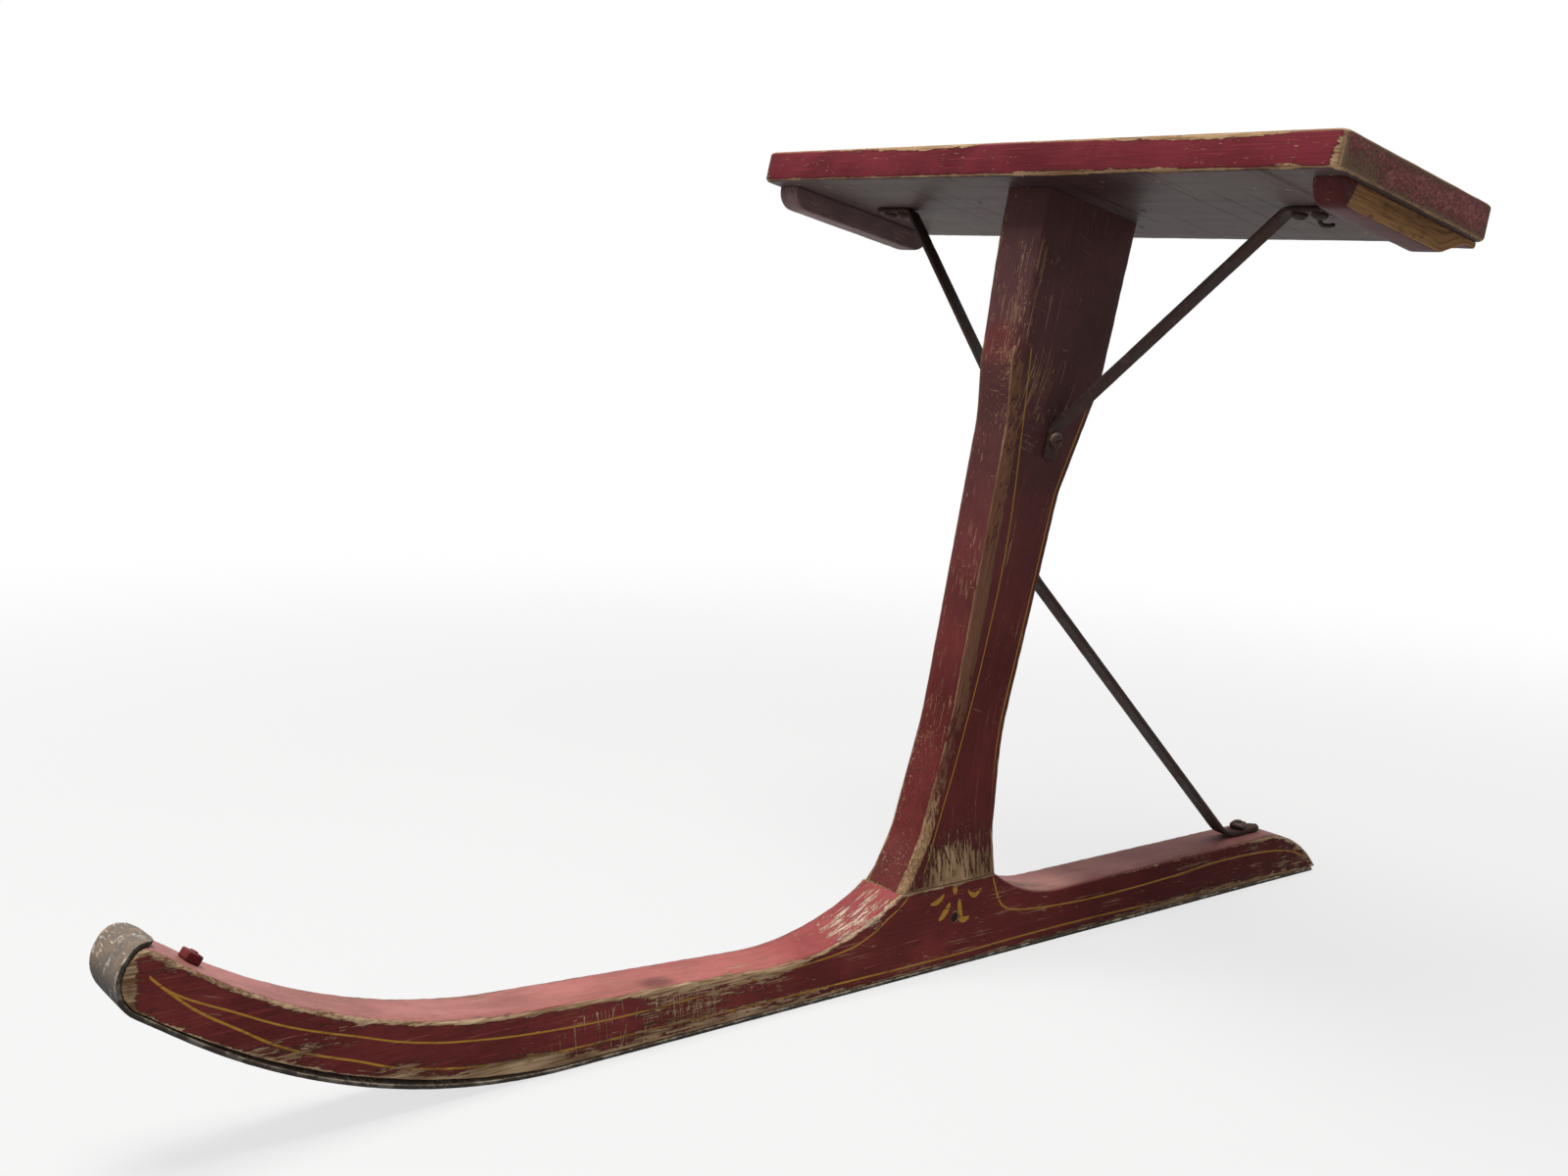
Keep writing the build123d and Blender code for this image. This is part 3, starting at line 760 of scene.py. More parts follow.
def runner_stations():
    """Sections square to the sole, then round the nose's tip. They crowd at the joint's two
    ends and at the toe, where the shape changes fast."""
    tip_x = on_nose(NOSE_LENGTH - NOSE_ROUND, 0)[0]
    straight = [p for p in runner_sole if p.x <= tip_x + 1e-6]
    length = sum((b - a).length for a, b in zip(straight, straight[1:]))
    lows = spread(straight, int(length / (2.6 * MM)))
    extra = [JOINT_BACK - 0.2 * MM, JOINT_BACK, JOINT_FRONT, JOINT_FRONT + 0.2 * MM]
    extra += [(k * k * 0.12 * MM) - HALF_LENGTH for k in range(1, 8)]
    lows += [Vector((x, SOLE)) for x in extra]
    lows = sorted(lows, key=lambda p: p.x)
    pairs = []
    for i, low in enumerate(lows):
        run = (lows[min(i + 1, len(lows) - 1)] - lows[max(i - 1, 0)]).normalized()
        pairs.append((low, hit(low, Vector((-run.y, run.x)), whole_top)))
    last_high = pairs[-1][1]
    tip_low = [p for p in runner_sole if p.x > tip_x + 1e-6]
    tip_high = [p for p in runner_top if (p - last_high).dot(Vector((1, 0.7))) > 0]
    tip_low = spread([pairs[-1][0], *tip_low], 16)[1:]
    tip_high = spread([last_high, *tip_high], 16)[1:]
    pairs += list(zip(tip_low, tip_high))
    stations, along = [], 0.0
    middle = (pairs[0][0] + pairs[0][1]) / 2
    for low, high in pairs:
        if (high - low).length < 0.4 * MM:
            continue
        new = (low + high) / 2
        along += (new - middle).length
        middle = new
        under_post = fade(low.x, JOINT_BACK - 8 * MM, JOINT_BACK)
        under_post *= 1 - fade(low.x, JOINT_FRONT, JOINT_FRONT + 8 * MM)
        soft = 2.2 * MM * (1 - under_post) + 0.4 * MM * under_post
        stations.append(station(low, high, RUNNER_HALF, along, (1.2 * MM, 0.0), (soft, 0.15)))
    return stations


# %% Runner mesh
def drilled(piece, centre, radius, length):
    """Cuts a round hole across a piece with a boolean, which is applied to the mesh."""
    drill = bmesh.new()
    side_on = Matrix.Translation(centre) @ Matrix.Rotation(math.pi / 2, 4, "X")
    bmesh.ops.create_cone(drill, cap_ends=True, segments=36, radius1=radius, radius2=radius,
                          depth=length, matrix=side_on)
    mesh = bpy.data.meshes.new("drill")
    drill.to_mesh(mesh)
    drill.free()
    cutter = bpy.data.objects.new("drill", mesh)
    bpy.context.scene.collection.objects.link(cutter)
    cut = piece.modifiers.new("hole", "BOOLEAN")
    cut.object, cut.solver = cutter, "EXACT"
    bpy.context.view_layer.update()
    graph = bpy.context.evaluated_depsgraph_get()
    piece.data = bpy.data.meshes.new_from_object(
        piece.evaluated_get(graph), preserve_all_data_layers=True, depsgraph=graph)
    piece.modifiers.clear()
    bpy.data.objects.remove(cutter)


runner = loft("runner_wood", runner_stations(), side_steps=8, flat_steps=8, sawn=True)
weather(runner, 0.12 * MM, 0.55 * MM, 60.0)
PEG_AT, PEG_RADIUS = (-67 * MM, 0, 31.5 * MM), 3.2 * MM
drilled(runner, PEG_AT, PEG_RADIUS, 60 * MM)
print("runner:", len(runner.data.polygons), "faces")


# %% Runner lining
upper_line = [
    (412.5, 95.3), (400, 83.8), (374, 69.9), (346.7, 56.3), (318.1, 45.8), (282.9, 34.2),
    (256.7, 29), (212.6, 23.9), (165.6, 21.7), (102.7, 22.7), (48.6, 24.9), (20.2, 27),
    (0.1, 32.7), (-13.5, 40.8), (-23.1, 46.4), (-28.7, 51.7),
]
lower_line = [
    (412.5, 95.3), (400, 82.4), (391.5, 74.7), (374, 62.5), (346.6, 45.4), (318, 33.7),
    (277.6, 19.5), (234.6, 13), (127.9, 9.9), (18.9, 8.3), (-57.4, 7.5), (-140.8, 8.6),
    (-213.7, 7.9), (-272.5, 6), (-378.7, 4.9), (-410, 4.5),
]
rear_line = [
    (-96.4, 52.6), (-98.6, 46.7), (-102.9, 36.6), (-109.5, 29.7), (-118.2, 26.9), (-133, 24.8),
    (-155.9, 23), (-193.4, 21.6), (-270.3, 22.8), (-311, 24.9), (-353.8, 24.2),
    (-381.8, 21.8), (-405.4, 15.7), (-419.9, 4.5),
]
strokes = [
    ((-66, 46.2), (-65.4, 51.8), 0.0, 0.36), ((-45.6, 43.2), (-57.0, 47.8), 0.16, 0.15),
    ((-76.0, 47.0), (-88.0, 46.6), 0.34, 0.15), ((-62.0, 41.6), (-53.4, 31.4), -0.07, 0.17),
    ((-69.4, 42.6), (-72.6, 30.4), 0.05, 0.15), ((-69.6, 30.0), (-78.8, 29.6), 0.12, 0.22),
]


def runner_lining(finish, place):
    """Both long stripes, the rear one and the flower, on the two sides of the runner."""
    x, _, z = finish.axes(place)
    drawn = stripe(finish, x, z, upper_line, 1.05, -29, 412)
    drawn = drawn.most(stripe(finish, x, z, lower_line, 1.25, -408, 412))
    drawn = drawn.most(stripe(finish, x, z, rear_line, 1.25, -419, -96.5))
    for tail, tip, bow, fat in strokes:
        drawn = drawn.most(leaf(x, z, tail, tip, bow, fat))
    return drawn * sideways(finish).step(0.6, 0.9)


# %% Runner wear, stains, and painted light and shade
def runner_dust_and_sheen(finish, place):
    """The pink of the top: faded paint and a painted sheen from the light above. It is paler
    toward the nose and redder near the joint. On the rear arm it is darker, a painted shadow
    of the seat, and in the scoop it is palest, a painted highlight."""
    x = finish.axes(place)[0]
    drift = finish.cloud(place, 30.0, 4.0) * (60 * MM)
    pink = finish.mix((x + drift).step_mm(70, 300), (0.50, 0.142, 0.128), (0.52, 0.215, 0.19))
    pink = finish.mix(x.step_mm(20, 75, 1.0, 0.0), pink, (0.40, 0.092, 0.094))
    # Painted shadow of the seat on the rear arm's top.
    pink = finish.mix(x.step_mm(-185, -135, 1.0, 0.0), pink, (0.36, 0.150, 0.135))
    # Painted highlight in the scoop behind the post.
    scoop = spot(finish, place, (-147, 4, 37), (54, 28, 18))
    return finish.mix(scoop * 0.9, pink, (0.74, 0.36, 0.31))


def smudge(finish, place):
    """A burnt smudge on the front arm, and grime round the post's foot."""
    burnt = spot(finish, place, (142, 8, 31), (16, 10, 8)) * 0.62
    return burnt.most(spot(finish, place, (-101, 0, 53), (12, 24, 7)) * 0.35)


def rear_side(finish, place):
    """The rear arm's sides are darker, more so toward the toe."""
    return finish.axes(place)[0].step_mm(-280, -30, 0.8, 0.0) * sideways(finish)


def bleached(finish, place):
    """Where feet rubbed the boss, the bare wood is almost white, but not along its edges."""
    inward = finish.kept_mm("rim").step(0.6, 2.4, 0.3, 0.85)
    return spot(finish, place, (5, 4, 42), (50, 28, 16)) * inward


def runner_wear(finish, place, rim):
    """Long bare streaks on the boss, knocks low on the front arm, and a bare line at the
    joint. The rear arm's upper edges have kept their paint up to the toe."""
    x, _, z = finish.axes(place)
    streaks = finish.cloud(finish.stretch(place, 70, 620, 70), 1.0, 5.0, 0.68, 0.7).step(0.50, 0.58)
    rubbed = spot(finish, place, (10, 4, 39), (30, 22, 12)) * 0.55
    rubbed = rubbed.most(spot(finish, place, (-13, 2, 48), (15, 16, 9)) * 0.5)
    wear = streaks * rubbed
    steep = scratches(finish, place, 1.45, 0.80).most(scratches(finish, place, 1.75, 0.83))
    wear = wear + steep * spot(finish, place, (165, 17.5, 14), (75, 8, 22)) * 0.5
    along = x.step_mm(-101, -98) * x.step_mm(-24, -21, 1.0, 0.0)
    wear = wear + along * z.step_mm(51.8, 52.6, 0.0, 0.34)
    rear = x.step_mm(-370, -330) * x.step_mm(-112, -96, 1.0, 0.0)
    return wear - rear * rim.falling(0.5) * z.step_mm(20, 28) * 0.45


# %% Runner paint
RED = (0.185, 0.033, 0.031)
runner_paint = old_paint(
    "runner_paint", RED, runner_dust_and_sheen, 0.0, wear=0.285, flecks=0.01, line=runner_lining,
    extra=runner_wear, layers=((smudge, GRIME_AND_SHADE), (rear_side, (0.072, 0.006, 0.006))),
    wood_tones=((bleached, (0.78, 0.64, 0.50)),), low_edge=0.6, pale=(0.60, 0.42, 0.26),
    spots=[
        ((150, 17.5, 4), (150, 9, 11), 0.20), ((8, 2, 41), (36, 26, 13), 0.07),
        ((120, 17.5, 20), (75, 8, 15), 0.16), ((424, 14, 92), (11, 20, 22), 0.5),
        ((-398, 17.5, 14), (46, 12, 20), 0.13), ((-408, -17.5, 15), (38, 12, 19), 0.18),
        ((-425, 0, 8), (14, 24, 11), 0.26), ((-300, 17.5, 3), (120, 9, 8), 0.20),
        ((240, 17.5, 8), (55, 8, 9), 0.22), ((300, 17.5, 20), (45, 8, 10), 0.20),
        ((352, 17.5, 46), (36, 8, 12), 0.16), ((-132, 6, 38), (32, 12, 10), 0.20),
        ((-250, -17.5, 6), (150, 9, 11), 0.17), ((250, -17.5, 25), (60, 8, 20), 0.12),
        ((60, 17.5, 6), (60, 8, 9), 0.10), ((250, 17.5, 12), (50, 8, 12), 0.12),
    ],
)
dress(runner, runner_paint, "runner_paint", "runner")

# %% [markdown]
# ## The post
# The post is a wide board on edge. It leans back, narrows at the waist and widens again to
# carry the seat. Its two front corners are chamfered up to the kink and only worn above it.

# %% Post mesh
SEAT_PITCH = math.radians(12.0)
SEAT_MIDDLE = Vector((-148.8 * MM, 0.0, 451.4 * MM))


def underside(x):
    """Height of the seat's underside."""
    return SEAT_MIDDLE.z + (x - SEAT_MIDDLE.x) * math.tan(SEAT_PITCH)


def millimetres(rows):
    """Rows of numbers in millimetres, turned into metres."""
    return [tuple(value * MM for value in row) for row in rows]


POST_HALF, CHAMFER, WORN_EDGE = 17.0 * MM, 4.6 * MM, 0.9 * MM
POST_FRONT_TOP, POST_BACK_TOP = -104.3 * MM, -181.5 * MM
KINK_HEIGHT = 362.0 * MM
post_front = rounded_path([
    (JOINT_FRONT, JOINT, 0),
    *millimetres([(-38, 82, 60), (-57.5, 150, 220), (-87, 328, 90), (-87, 362, 2)]),
    (POST_FRONT_TOP, underside(POST_FRONT_TOP), 0),
])
post_back = rounded_path([
    (JOINT_BACK, JOINT, 0),
    *millimetres([(-95, 80, 70), (-97, 140, 160), (-131, 284, 60), (-160, 348, 90)]),
    (POST_BACK_TOP, underside(POST_BACK_TOP), 0),
])


def post_stations(count=150):
    """Sections from the joint up to the seat, their front corners less chamfered at the
    foot and only rounded above the kink."""
    stations, along, middle = [], 0.0, None
    for high, low in zip(spread(post_front, count), spread(post_back, count)):
        new = (low + high) / 2
        along += (new - middle).length if middle else 0.0
        middle = new
        above = fade(high.y, KINK_HEIGHT - 4 * MM, 448 * MM)
        foot = 1 - fade(high.y, JOINT, JOINT + 7 * MM)
        width = CHAMFER * (1 - above) + WORN_EDGE * above
        front = (width * (1 - 0.45 * foot), 0.8 * (1 - above))
        stations.append(station(low, high, POST_HALF, along, (1.8 * MM, 0.0), front))
    return stations


post = loft("post_board", post_stations(), side_steps=14, flat_steps=7)
weather(post, 0.12 * MM, 0.4 * MM, 55.0)
print("post:", len(post.data.polygons), "faces")


# %% Post lining and chamfers
post_line = [
    (372, 98.4), (355.4, 97.5), (321.5, 95.3), (264.3, 90.5), (201.1, 78.8), (143.7, 64.2),
    (86.7, 47.1), (66.8, 41), (56, 36.5),
]


def post_lining(finish, place):
    """A stripe behind each front chamfer, and a fainter one along the rear edges."""
    x, _, z = finish.axes(place)
    drawn = stripe(finish, z, x * -1, post_line, 0.95, 62, 370) * 0.85
    rear = abs(finish.kept("low") - 4.6 * MM).step_mm(0.3, 0.65, 1.0, 0.0)
    rear = rear * z.step_mm(90, 140) * z.step_mm(330, 336, 1.0, 0.0)
    return drawn.most(rear * 0.8) * sideways(finish).step(0.6, 0.9)


def chamfer(finish, place):
    """1 on the front chamfers, from the distance to the post's front edges."""
    z = finish.axes(place)[2]
    ragged = finish.cloud(place, 150.0, 3.0) * 1.2
    behind = z.step_mm(100, 190, 0.2, 2.0) * z.step_mm(280, 350, 1.0, 0.3)
    behind = sideways(finish).step(0.85, 0.97) * behind
    near = (finish.kept_mm("high") + ragged - behind).step(5.2, 6.0, 1.0, 0.0)
    return near * z.step_mm(364, 374, 1.0, 0.0)


def chamfer_wear(finish, place, rim):
    """The front chamfers are rubbed bare up to the kink. A thin line of bare wood along their
    front edges, on faces turned forward, is a painted highlight and partly worn edge.
    """
    _, y, z = finish.axes(place)
    highlight_line = abs(abs(y) - 12.6 * MM).step_mm(0.2, 1.2, 1.0, 0.0)
    upper = z.step_mm(200, 290, 0.3, 1.0) * z.step_mm(366, 420, 1.0, 0.0)
    forward = finish.facing()[0].step(0.3, 0.5)
    kept = rim.falling(0.9) * z.step_mm(370, 380)
    patchy = finish.cloud(place, 38.0, 3.0).step(0.38, 0.54, 0.19, 0.31)
    return chamfer(finish, place) * patchy + highlight_line * upper * forward * 0.2 - kept * 0.22


def handled(finish, place):
    """The bare chamfers are brown from hands, less so near the foot. Their edges are paler,
    painted highlights along the arrises and partly worn wood.
    """
    _, y, z = finish.axes(place)
    inside = (POST_HALF - abs(y)) * (1 / MM)
    brown = inside.step(0.1, 0.5, 0.82, 0.95) * inside.step(4.0, 4.4, 1.0, 0.6)
    return chamfer(finish, place) * brown * z.step_mm(75, 130, 0.1, 1.0)


# %% Post stains and painted shade
def painted_shade_under_seat(finish, place):
    """Painted shade: the seat's shadow across the top of the front face, and a band of
    shade under the kink.
    """
    z = finish.axes(place)[2]
    under_seat = z.step_mm(436, 439) * 0.42
    under_kink = z.step_mm(300, 359) * z.step_mm(359.5, 361, 1.0, 0.0) * 0.22
    return under_seat.most(under_kink) * finish.facing()[0].step(0.5, 0.8)


def greyed_and_lit_kink(finish, place):
    """The paint is greyer toward the seat. Just above the kink it is less grey, a painted light
    above the crease.
    """
    rising = finish.axes(place)[2].step_mm(130, 400, 0.0, 0.62)
    return rising - spot(finish, place, (-88, 0, 372), (12, 30, 20)) * 0.3


def old_mark(finish, place):
    """A faint triangular print on each side, left by some former fitting."""
    x, _, z = finish.axes(place)
    across = abs(x + 104 * MM) + abs(z - 365 * MM) * 0.9
    ring = abs(across - 7 * MM).step_mm(0.4, 1.1, 1.0, 0.0)
    return ring * x.step_mm(-106, -104, 1.0, 0.4) * sideways(finish) * 0.4


# %% Post paint
post_paint = old_paint(
    "post_paint", (0.140, 0.027, 0.025), (0.26, 0.10, 0.09), 3.1, wear=0.235, edge=0.55,
    line=post_lining, extra=chamfer_wear, wood_tones=((handled, (0.128, 0.055, 0.034)),),
    layers=(
        (greyed_and_lit_kink, (0.070, 0.049, 0.050)), (painted_shade_under_seat, GRIME_AND_SHADE), (old_mark, (0.14, 0.10, 0.08)),
    ),
    spots=[
        ((-68, 17, 54), (60, 9, 52), 0.29), ((-97, 12, 398), (10, 8, 44), 0.10),
        ((-48, 0, 110), (30, 24, 75), 0.10), ((-75, -17, 58), (30, 9, 40), 0.3),
        ((-140, -17, 400), (30, 9, 40), 0.12), ((-90, 17, 170), (40, 9, 90), 0.07),
    ],
)
dress(post, post_paint, "post_paint", "post")


# %% [markdown]
# ## The seat board
# A board can be made by bevelling a box, but a bevel gives the same edge all round. Here a
# fine grid over a box is pulled in to a rounded plan and rounded edges, and each point
# keeps its distance to the nearest edge. The weathering then eats the edges unevenly.

# %% A box's points, moved onto a board
def graded(half, fine, cell):
    """Coordinates from -half to half, close together near both ends. fine: in millimetres."""
    near = [f * MM for f in fine]
    inner = half - near[-1]
    count = max(2, int(2 * inner / cell))
    middle = [-inner + 2 * inner * i / count for i in range(count + 1)]
    left = [-half + f for f in near[:-1]]
    return left + middle + [-v for v in reversed(left)]


def board_point(p, half, corner_round, edge_round):
    """Moves a point of a box's surface onto the box with rounded corners and edges."""
    outline = Vector((p.x, p.y))
    inner = Vector((half.x - corner_round, half.y - corner_round))
    held = Vector((max(-inner.x, min(inner.x, p.x)), max(-inner.y, min(inner.y, p.y))))
    off = outline - held
    out = Vector((0.0, 0.0))
    if off.length > 1e-9:
        off *= max(abs(off.x), abs(off.y)) / off.length
        out = off.normalized()
        outline = held + off
    inside = corner_round - off.length if off.length > 1e-9 else corner_round
    over = abs(p.z) - (half.z - edge_round)
    under = edge_round - inside
    if over > 0 and under > 0:
        shift = Vector((under, over))
        shift *= max(under, over) / shift.length
        outline += out * (shift.x - under)
        height = (half.z - edge_round + shift.y) * (1 if p.z > 0 else -1)
        return Vector((outline.x, outline.y, height))
    return Vector((outline.x, outline.y, p.z))


# %% A worn board
EDGE_LINES = (0, 0.5, 1.0, 1.6, 2.5, 4.0, 6.5)  # millimetres from an edge
WELD, THIN = 0.01 * MM, 24.0 * MM


def board(name, size, corner_round, edge_round, to_frame, cell):
    """A worn board: grids over the six sides of a box, welded, rounded and put in place.
    A thin side has room for fewer lines near its edges."""
    half = Vector(size) / 2
    lines = [graded(h, EDGE_LINES if 2 * h > THIN else EDGE_LINES[:5], cell) for h in half]
    index, points, faces, rim, grain = {}, [], [], [], []

    def vertex(p):
        key = tuple(round(c / WELD) for c in p)
        if key not in index:
            index[key] = len(points)
            at = board_point(Vector(p), half, corner_round, edge_round)
            points.append(to_frame @ at)
            # The smallest gap to the box's sides is 0, and the next one leads to an edge.
            gaps = sorted(h - abs(c) for h, c in zip(half, p))
            rim.append(gaps[1] + 0.35 * min(gaps[2], 4 * MM) - 1.4 * MM + gaps[0])
            grain.append((p[1], p[0], p[2]))
        return index[key]

    for axis in range(3):
        a, b = [k for k in range(3) if k != axis]
        for sign in (-1, 1):
            for i in range(len(lines[a]) - 1):
                for j in range(len(lines[b]) - 1):
                    quad = []
                    for ia, jb in ((i, j), (i + 1, j), (i + 1, j + 1), (i, j + 1)):
                        p = [0.0, 0.0, 0.0]
                        p[axis], p[a], p[b] = sign * half[axis], lines[a][ia], lines[b][jb]
                        quad.append(vertex(p))
                    flip = (sign > 0) == (axis == 1)
                    faces.append(tuple(reversed(quad)) if flip else tuple(quad))
    rim = [max(0.0, value) for value in rim]
    return make_piece(name, points, faces, {"rim": rim}, grain)


# %% Seat mesh
seat_turn = Matrix.Rotation(-SEAT_PITCH, 4, "Y")
SEAT_SIZE = (138.0 * MM, 450.0 * MM, 20.0 * MM)
seat_to_frame = Matrix.Translation(SEAT_MIDDLE) @ seat_turn
seat_to_frame @= Matrix.Translation((0, 0, SEAT_SIZE[2] / 2))
seat = board("seat_board_wood", SEAT_SIZE, 6 * MM, 2.5 * MM, seat_to_frame, 5.0 * MM)
weather(seat, 0.12 * MM, 0.5 * MM, 45.0)
print("seat:", len(seat.data.polygons), "faces")


# %% Seat finish
def end_grain(finish, place):
    """The board's two ends, where the bare wood is brown with dirt."""
    return sideways(finish).step(0.5, 0.9)


def end_wear(finish, place, rim):
    """End grain drinks paint and sheds it, so both ends are half bare."""
    return end_grain(finish, place) * 0.18


def dusty_ends(finish, place):
    """Pale dust in the pores of the end grain."""
    pores = finish.cloud(finish.stretch(place, 300, 300, 620), 1.0, 4.0, 0.75)
    return end_grain(finish, place) * pores.step(0.38, 0.62, 0.3, 0.95)


def underneath(finish, place):
    """The underside was painted thinly in a brownish grey."""
    return finish.facing()[2].step(-0.9, -0.5, 1.0, 0.0)


def seams(finish, place):
    """Fine dark lines across the board's underside."""
    check = finish.cloud(finish.stretch(place, 4, 200, 4), 1.0, 2.0, 0.5).step(0.62, 0.67)
    return check * underneath(finish, place) * 0.8


def painted_shadow_beside_post(finish, place):
    """A painted shadow in dark red on the underside, beside the post and behind the
    front edge.
    """
    return spot(finish, place, (-98, 42, 462), (52, 84, 22)) * underneath(finish, place) * 0.7


# The second colour is the top's faded pink with a painted sheen from the light above.
seat_paint = old_paint(
    "seat_paint", (0.152, 0.023, 0.031), (0.36, 0.115, 0.11), 5.7, wear=0.205, edge=1.2,
    flecks=-0.07, extra=end_wear,
    layers=(
        (underneath, (0.088, 0.062, 0.059)), (seams, GRIME_AND_SHADE),
        (dusty_ends, (0.46, 0.165, 0.155)), (painted_shadow_beside_post, (0.034, 0.011, 0.014)),
    ),
    wood_tones=((end_grain, (0.210, 0.138, 0.088)),),
    spots=[
        ((-96, 225, 464), (32, 7, 16), 0.17), ((-81, 225, 474), (9, 9, 22), 0.45),
        ((-152, 0, 473), (66, 190, 14), 0.16), ((-132, 60, 476), (44, 100, 14), 0.17),
        ((-128, -95, 476), (34, 60, 14), 0.16), ((-82, -222, 474), (8, 9, 20), 0.25),
        ((-215, -60, 462), (12, 120, 14), 0.12), ((-85, 140, 485), (8, 110, 5), 0.38),
        ((-85, -70, 485), (8, 70, 5), 0.36), ((-82, 70, 466), (6, 110, 4), 0.16),
    ],
)
dress(seat, seat_paint, "seat_paint", "seat_board")

# %% [markdown]
# ## The cleats
# Two strips across the grain keep the board from cupping. The near one has lost the paint
# of its outer face, and its rear end is swept up in a small ogee.

# %% Cleats
CLEAT_DEPTH, CLEAT_FRONT, CLEAT_BACK = 13.5 * MM, 56.0 * MM, 66.0 * MM
CLEAT_HALF, CLEAT_INSET = 9.0 * MM, 5.0 * MM


def cleat(name, side, rear_corners):
    """A strip under the seat, made as sections along X and then turned with the seat."""
    lower = rounded_path([
        (-CLEAT_BACK, 0, 0), *rear_corners,
        (CLEAT_FRONT, -CLEAT_DEPTH, 11 * MM), (CLEAT_FRONT, -1 * MM, 0),
    ], 1.0 * MM)
    lower = [p for p in lower if p.y < -0.4 * MM]
    stations = [
        station(p, Vector((p.x, 0.0)), CLEAT_HALF, p.x, (1.3 * MM, 0.0), (0.5 * MM, 0.0))
        for p in spread(lower, 64)
    ]
    piece = loft(name, stations, side_steps=5, flat_steps=5)
    middle = SEAT_SIZE[1] / 2 - CLEAT_INSET - CLEAT_HALF
    move = Matrix.Translation(SEAT_MIDDLE) @ seat_turn @ Matrix.Translation((0, side * middle, 0))
    piece.data.transform(move)
    weather(piece, 0.1 * MM, 0.35 * MM, 70.0)
    return piece


# The corners at each cleat's rear end, as (x, z, radius).
swept = millimetres([(-66, -3.5, 0), (-56.3, -3.5, 16), (-37, -13.5, 16)])
squared = [(-CLEAT_BACK, -CLEAT_DEPTH, 11 * MM)]
near_cleat = cleat("cleat_left_strip", 1, swept)
far_cleat = cleat("cleat_right_strip", -1, squared)
print("cleats:", near_cleat.name, far_cleat.name)


# %% Cleat finishes
def outer_face_wear(finish, place, rim):
    """The near cleat's outer face is bare up to a curved border near its front end."""
    x, _, z = finish.axes(place)
    side = finish.facing()[1]
    border = x + (z - 455 * MM) * 0.6 + finish.cloud(place, 90.0) * 4 * MM
    return side.step(0.4, 0.8) * border.step_mm(-101, -98, 0.6, 0.0)


cleat_bare = old_paint(
    "cleat_bare", (0.085, 0.022, 0.022), (0.2, 0.09, 0.08), 7.3, wear=0.22, edge=0.25,
    extra=outer_face_wear, pale=(0.42, 0.225, 0.100), deep=(0.17, 0.080, 0.034),
)
dress(near_cleat, cleat_bare, "cleat_bare", "cleat_left")
cleat_paint = old_paint(
    "cleat_paint", (0.160, 0.104, 0.102), (0.2, 0.09, 0.08), 9.9, wear=0.21, edge=0.35,
)
dress(far_cleat, cleat_paint, "cleat_paint", "cleat_right")

# %% [markdown]
# ## Iron, in three states
# All the metal is iron or steel, but it looks different by use. The braces and the screws
# under the seat are almost black with old oil. The bolts, the nuts and the rear brace's
# screw are a little rustier and brighter. The shoe is rubbed by the snow, so steel shows
# between brown stains and long scratches. One function makes all three, with patches
# between colours and a roughness that follows them.

# %% Iron finishes
def iron(name, dark, rust, bright, shine, rubbed, streak=(60.0, 60.0, 60.0), mottle=75.0,
         downward_shade=1.0, upward_light=1.0):
    """Old iron: dark scale, rust where damp sat, bright where it is rubbed. downward_shade and
    upward_light scale the colour of what faces down and sideways, and of what faces up:
    painted shade below and beside, and painted light on top."""
    finish = Finish(name)
    place = finish.place()
    rim = finish.kept_mm("rim")
    blotch = finish.cloud(place, mottle, 6.0, 0.68, 0.6)
    grit = finish.cloud(place, 600.0, 4.0, 0.65)
    scratch = finish.cloud(finish.stretch(finish.kept("grain", "Vector"), *streak), 1.0, 5.0, 0.65)
    rusty = (blotch + grit * 0.35).step(0.60, 0.80)
    colour = finish.mix(rusty, dark, rust)
    worn = rim.falling(1.1) * 0.14 + scratch + (blotch - 0.5) * -0.5
    rubbed_through = worn.step(0.98 - rubbed, 1.16 - rubbed)
    colour = finish.mix(rubbed_through, colour, bright)
    nicks = scratches(finish, place, 0.9, 0.83).most(scratches(finish, place, -0.6, 0.85))
    colour = finish.mix(nicks * shine * 0.6, colour, finish.shade(bright, 1.5))
    # Painted light on top, and painted shade below and on the sides.
    up = finish.facing()[2]
    beside = sideways(finish).step(0.6, 0.9, 1.0, math.sqrt(downward_shade))
    colour = finish.shade(colour, (grit * 0.4 + 0.8) * up.step(-0.4, 0.5, downward_shade, upward_light) * beside)
    height = grit * 0.6 + scratch * 0.4
    return finish.finish_with(
        base_color=colour,
        metallic=rubbed_through * (1 - rusty * 0.5) * shine + 0.05,
        roughness=0.62 - rubbed_through * 0.22 + rusty * 0.15,
        normal=finish.bump(height, 0.14 * MM, 0.7),
        specular=0.2,
    )


dark_iron = iron("dark_iron", (0.030, 0.016, 0.014), (0.050, 0.024, 0.018),
                 (0.100, 0.058, 0.048), 0.45, 0.28, (25.0, 220.0, 220.0), 45.0)
# The fixings are painted lighter on top; the shoe is also painted darker below and beside.
fixing_iron = iron("fixing_iron", (0.028, 0.018, 0.016), (0.070, 0.032, 0.021),
                   (0.17, 0.12, 0.095), 0.6, 0.36, upward_light=2.2)
worn_steel = iron("worn_steel", (0.074, 0.062, 0.052), (0.118, 0.086, 0.061),
                  (0.29, 0.250, 0.200), 0.7, 0.43, (120.0, 150.0, 150.0), 130.0, 0.15, 2.4)


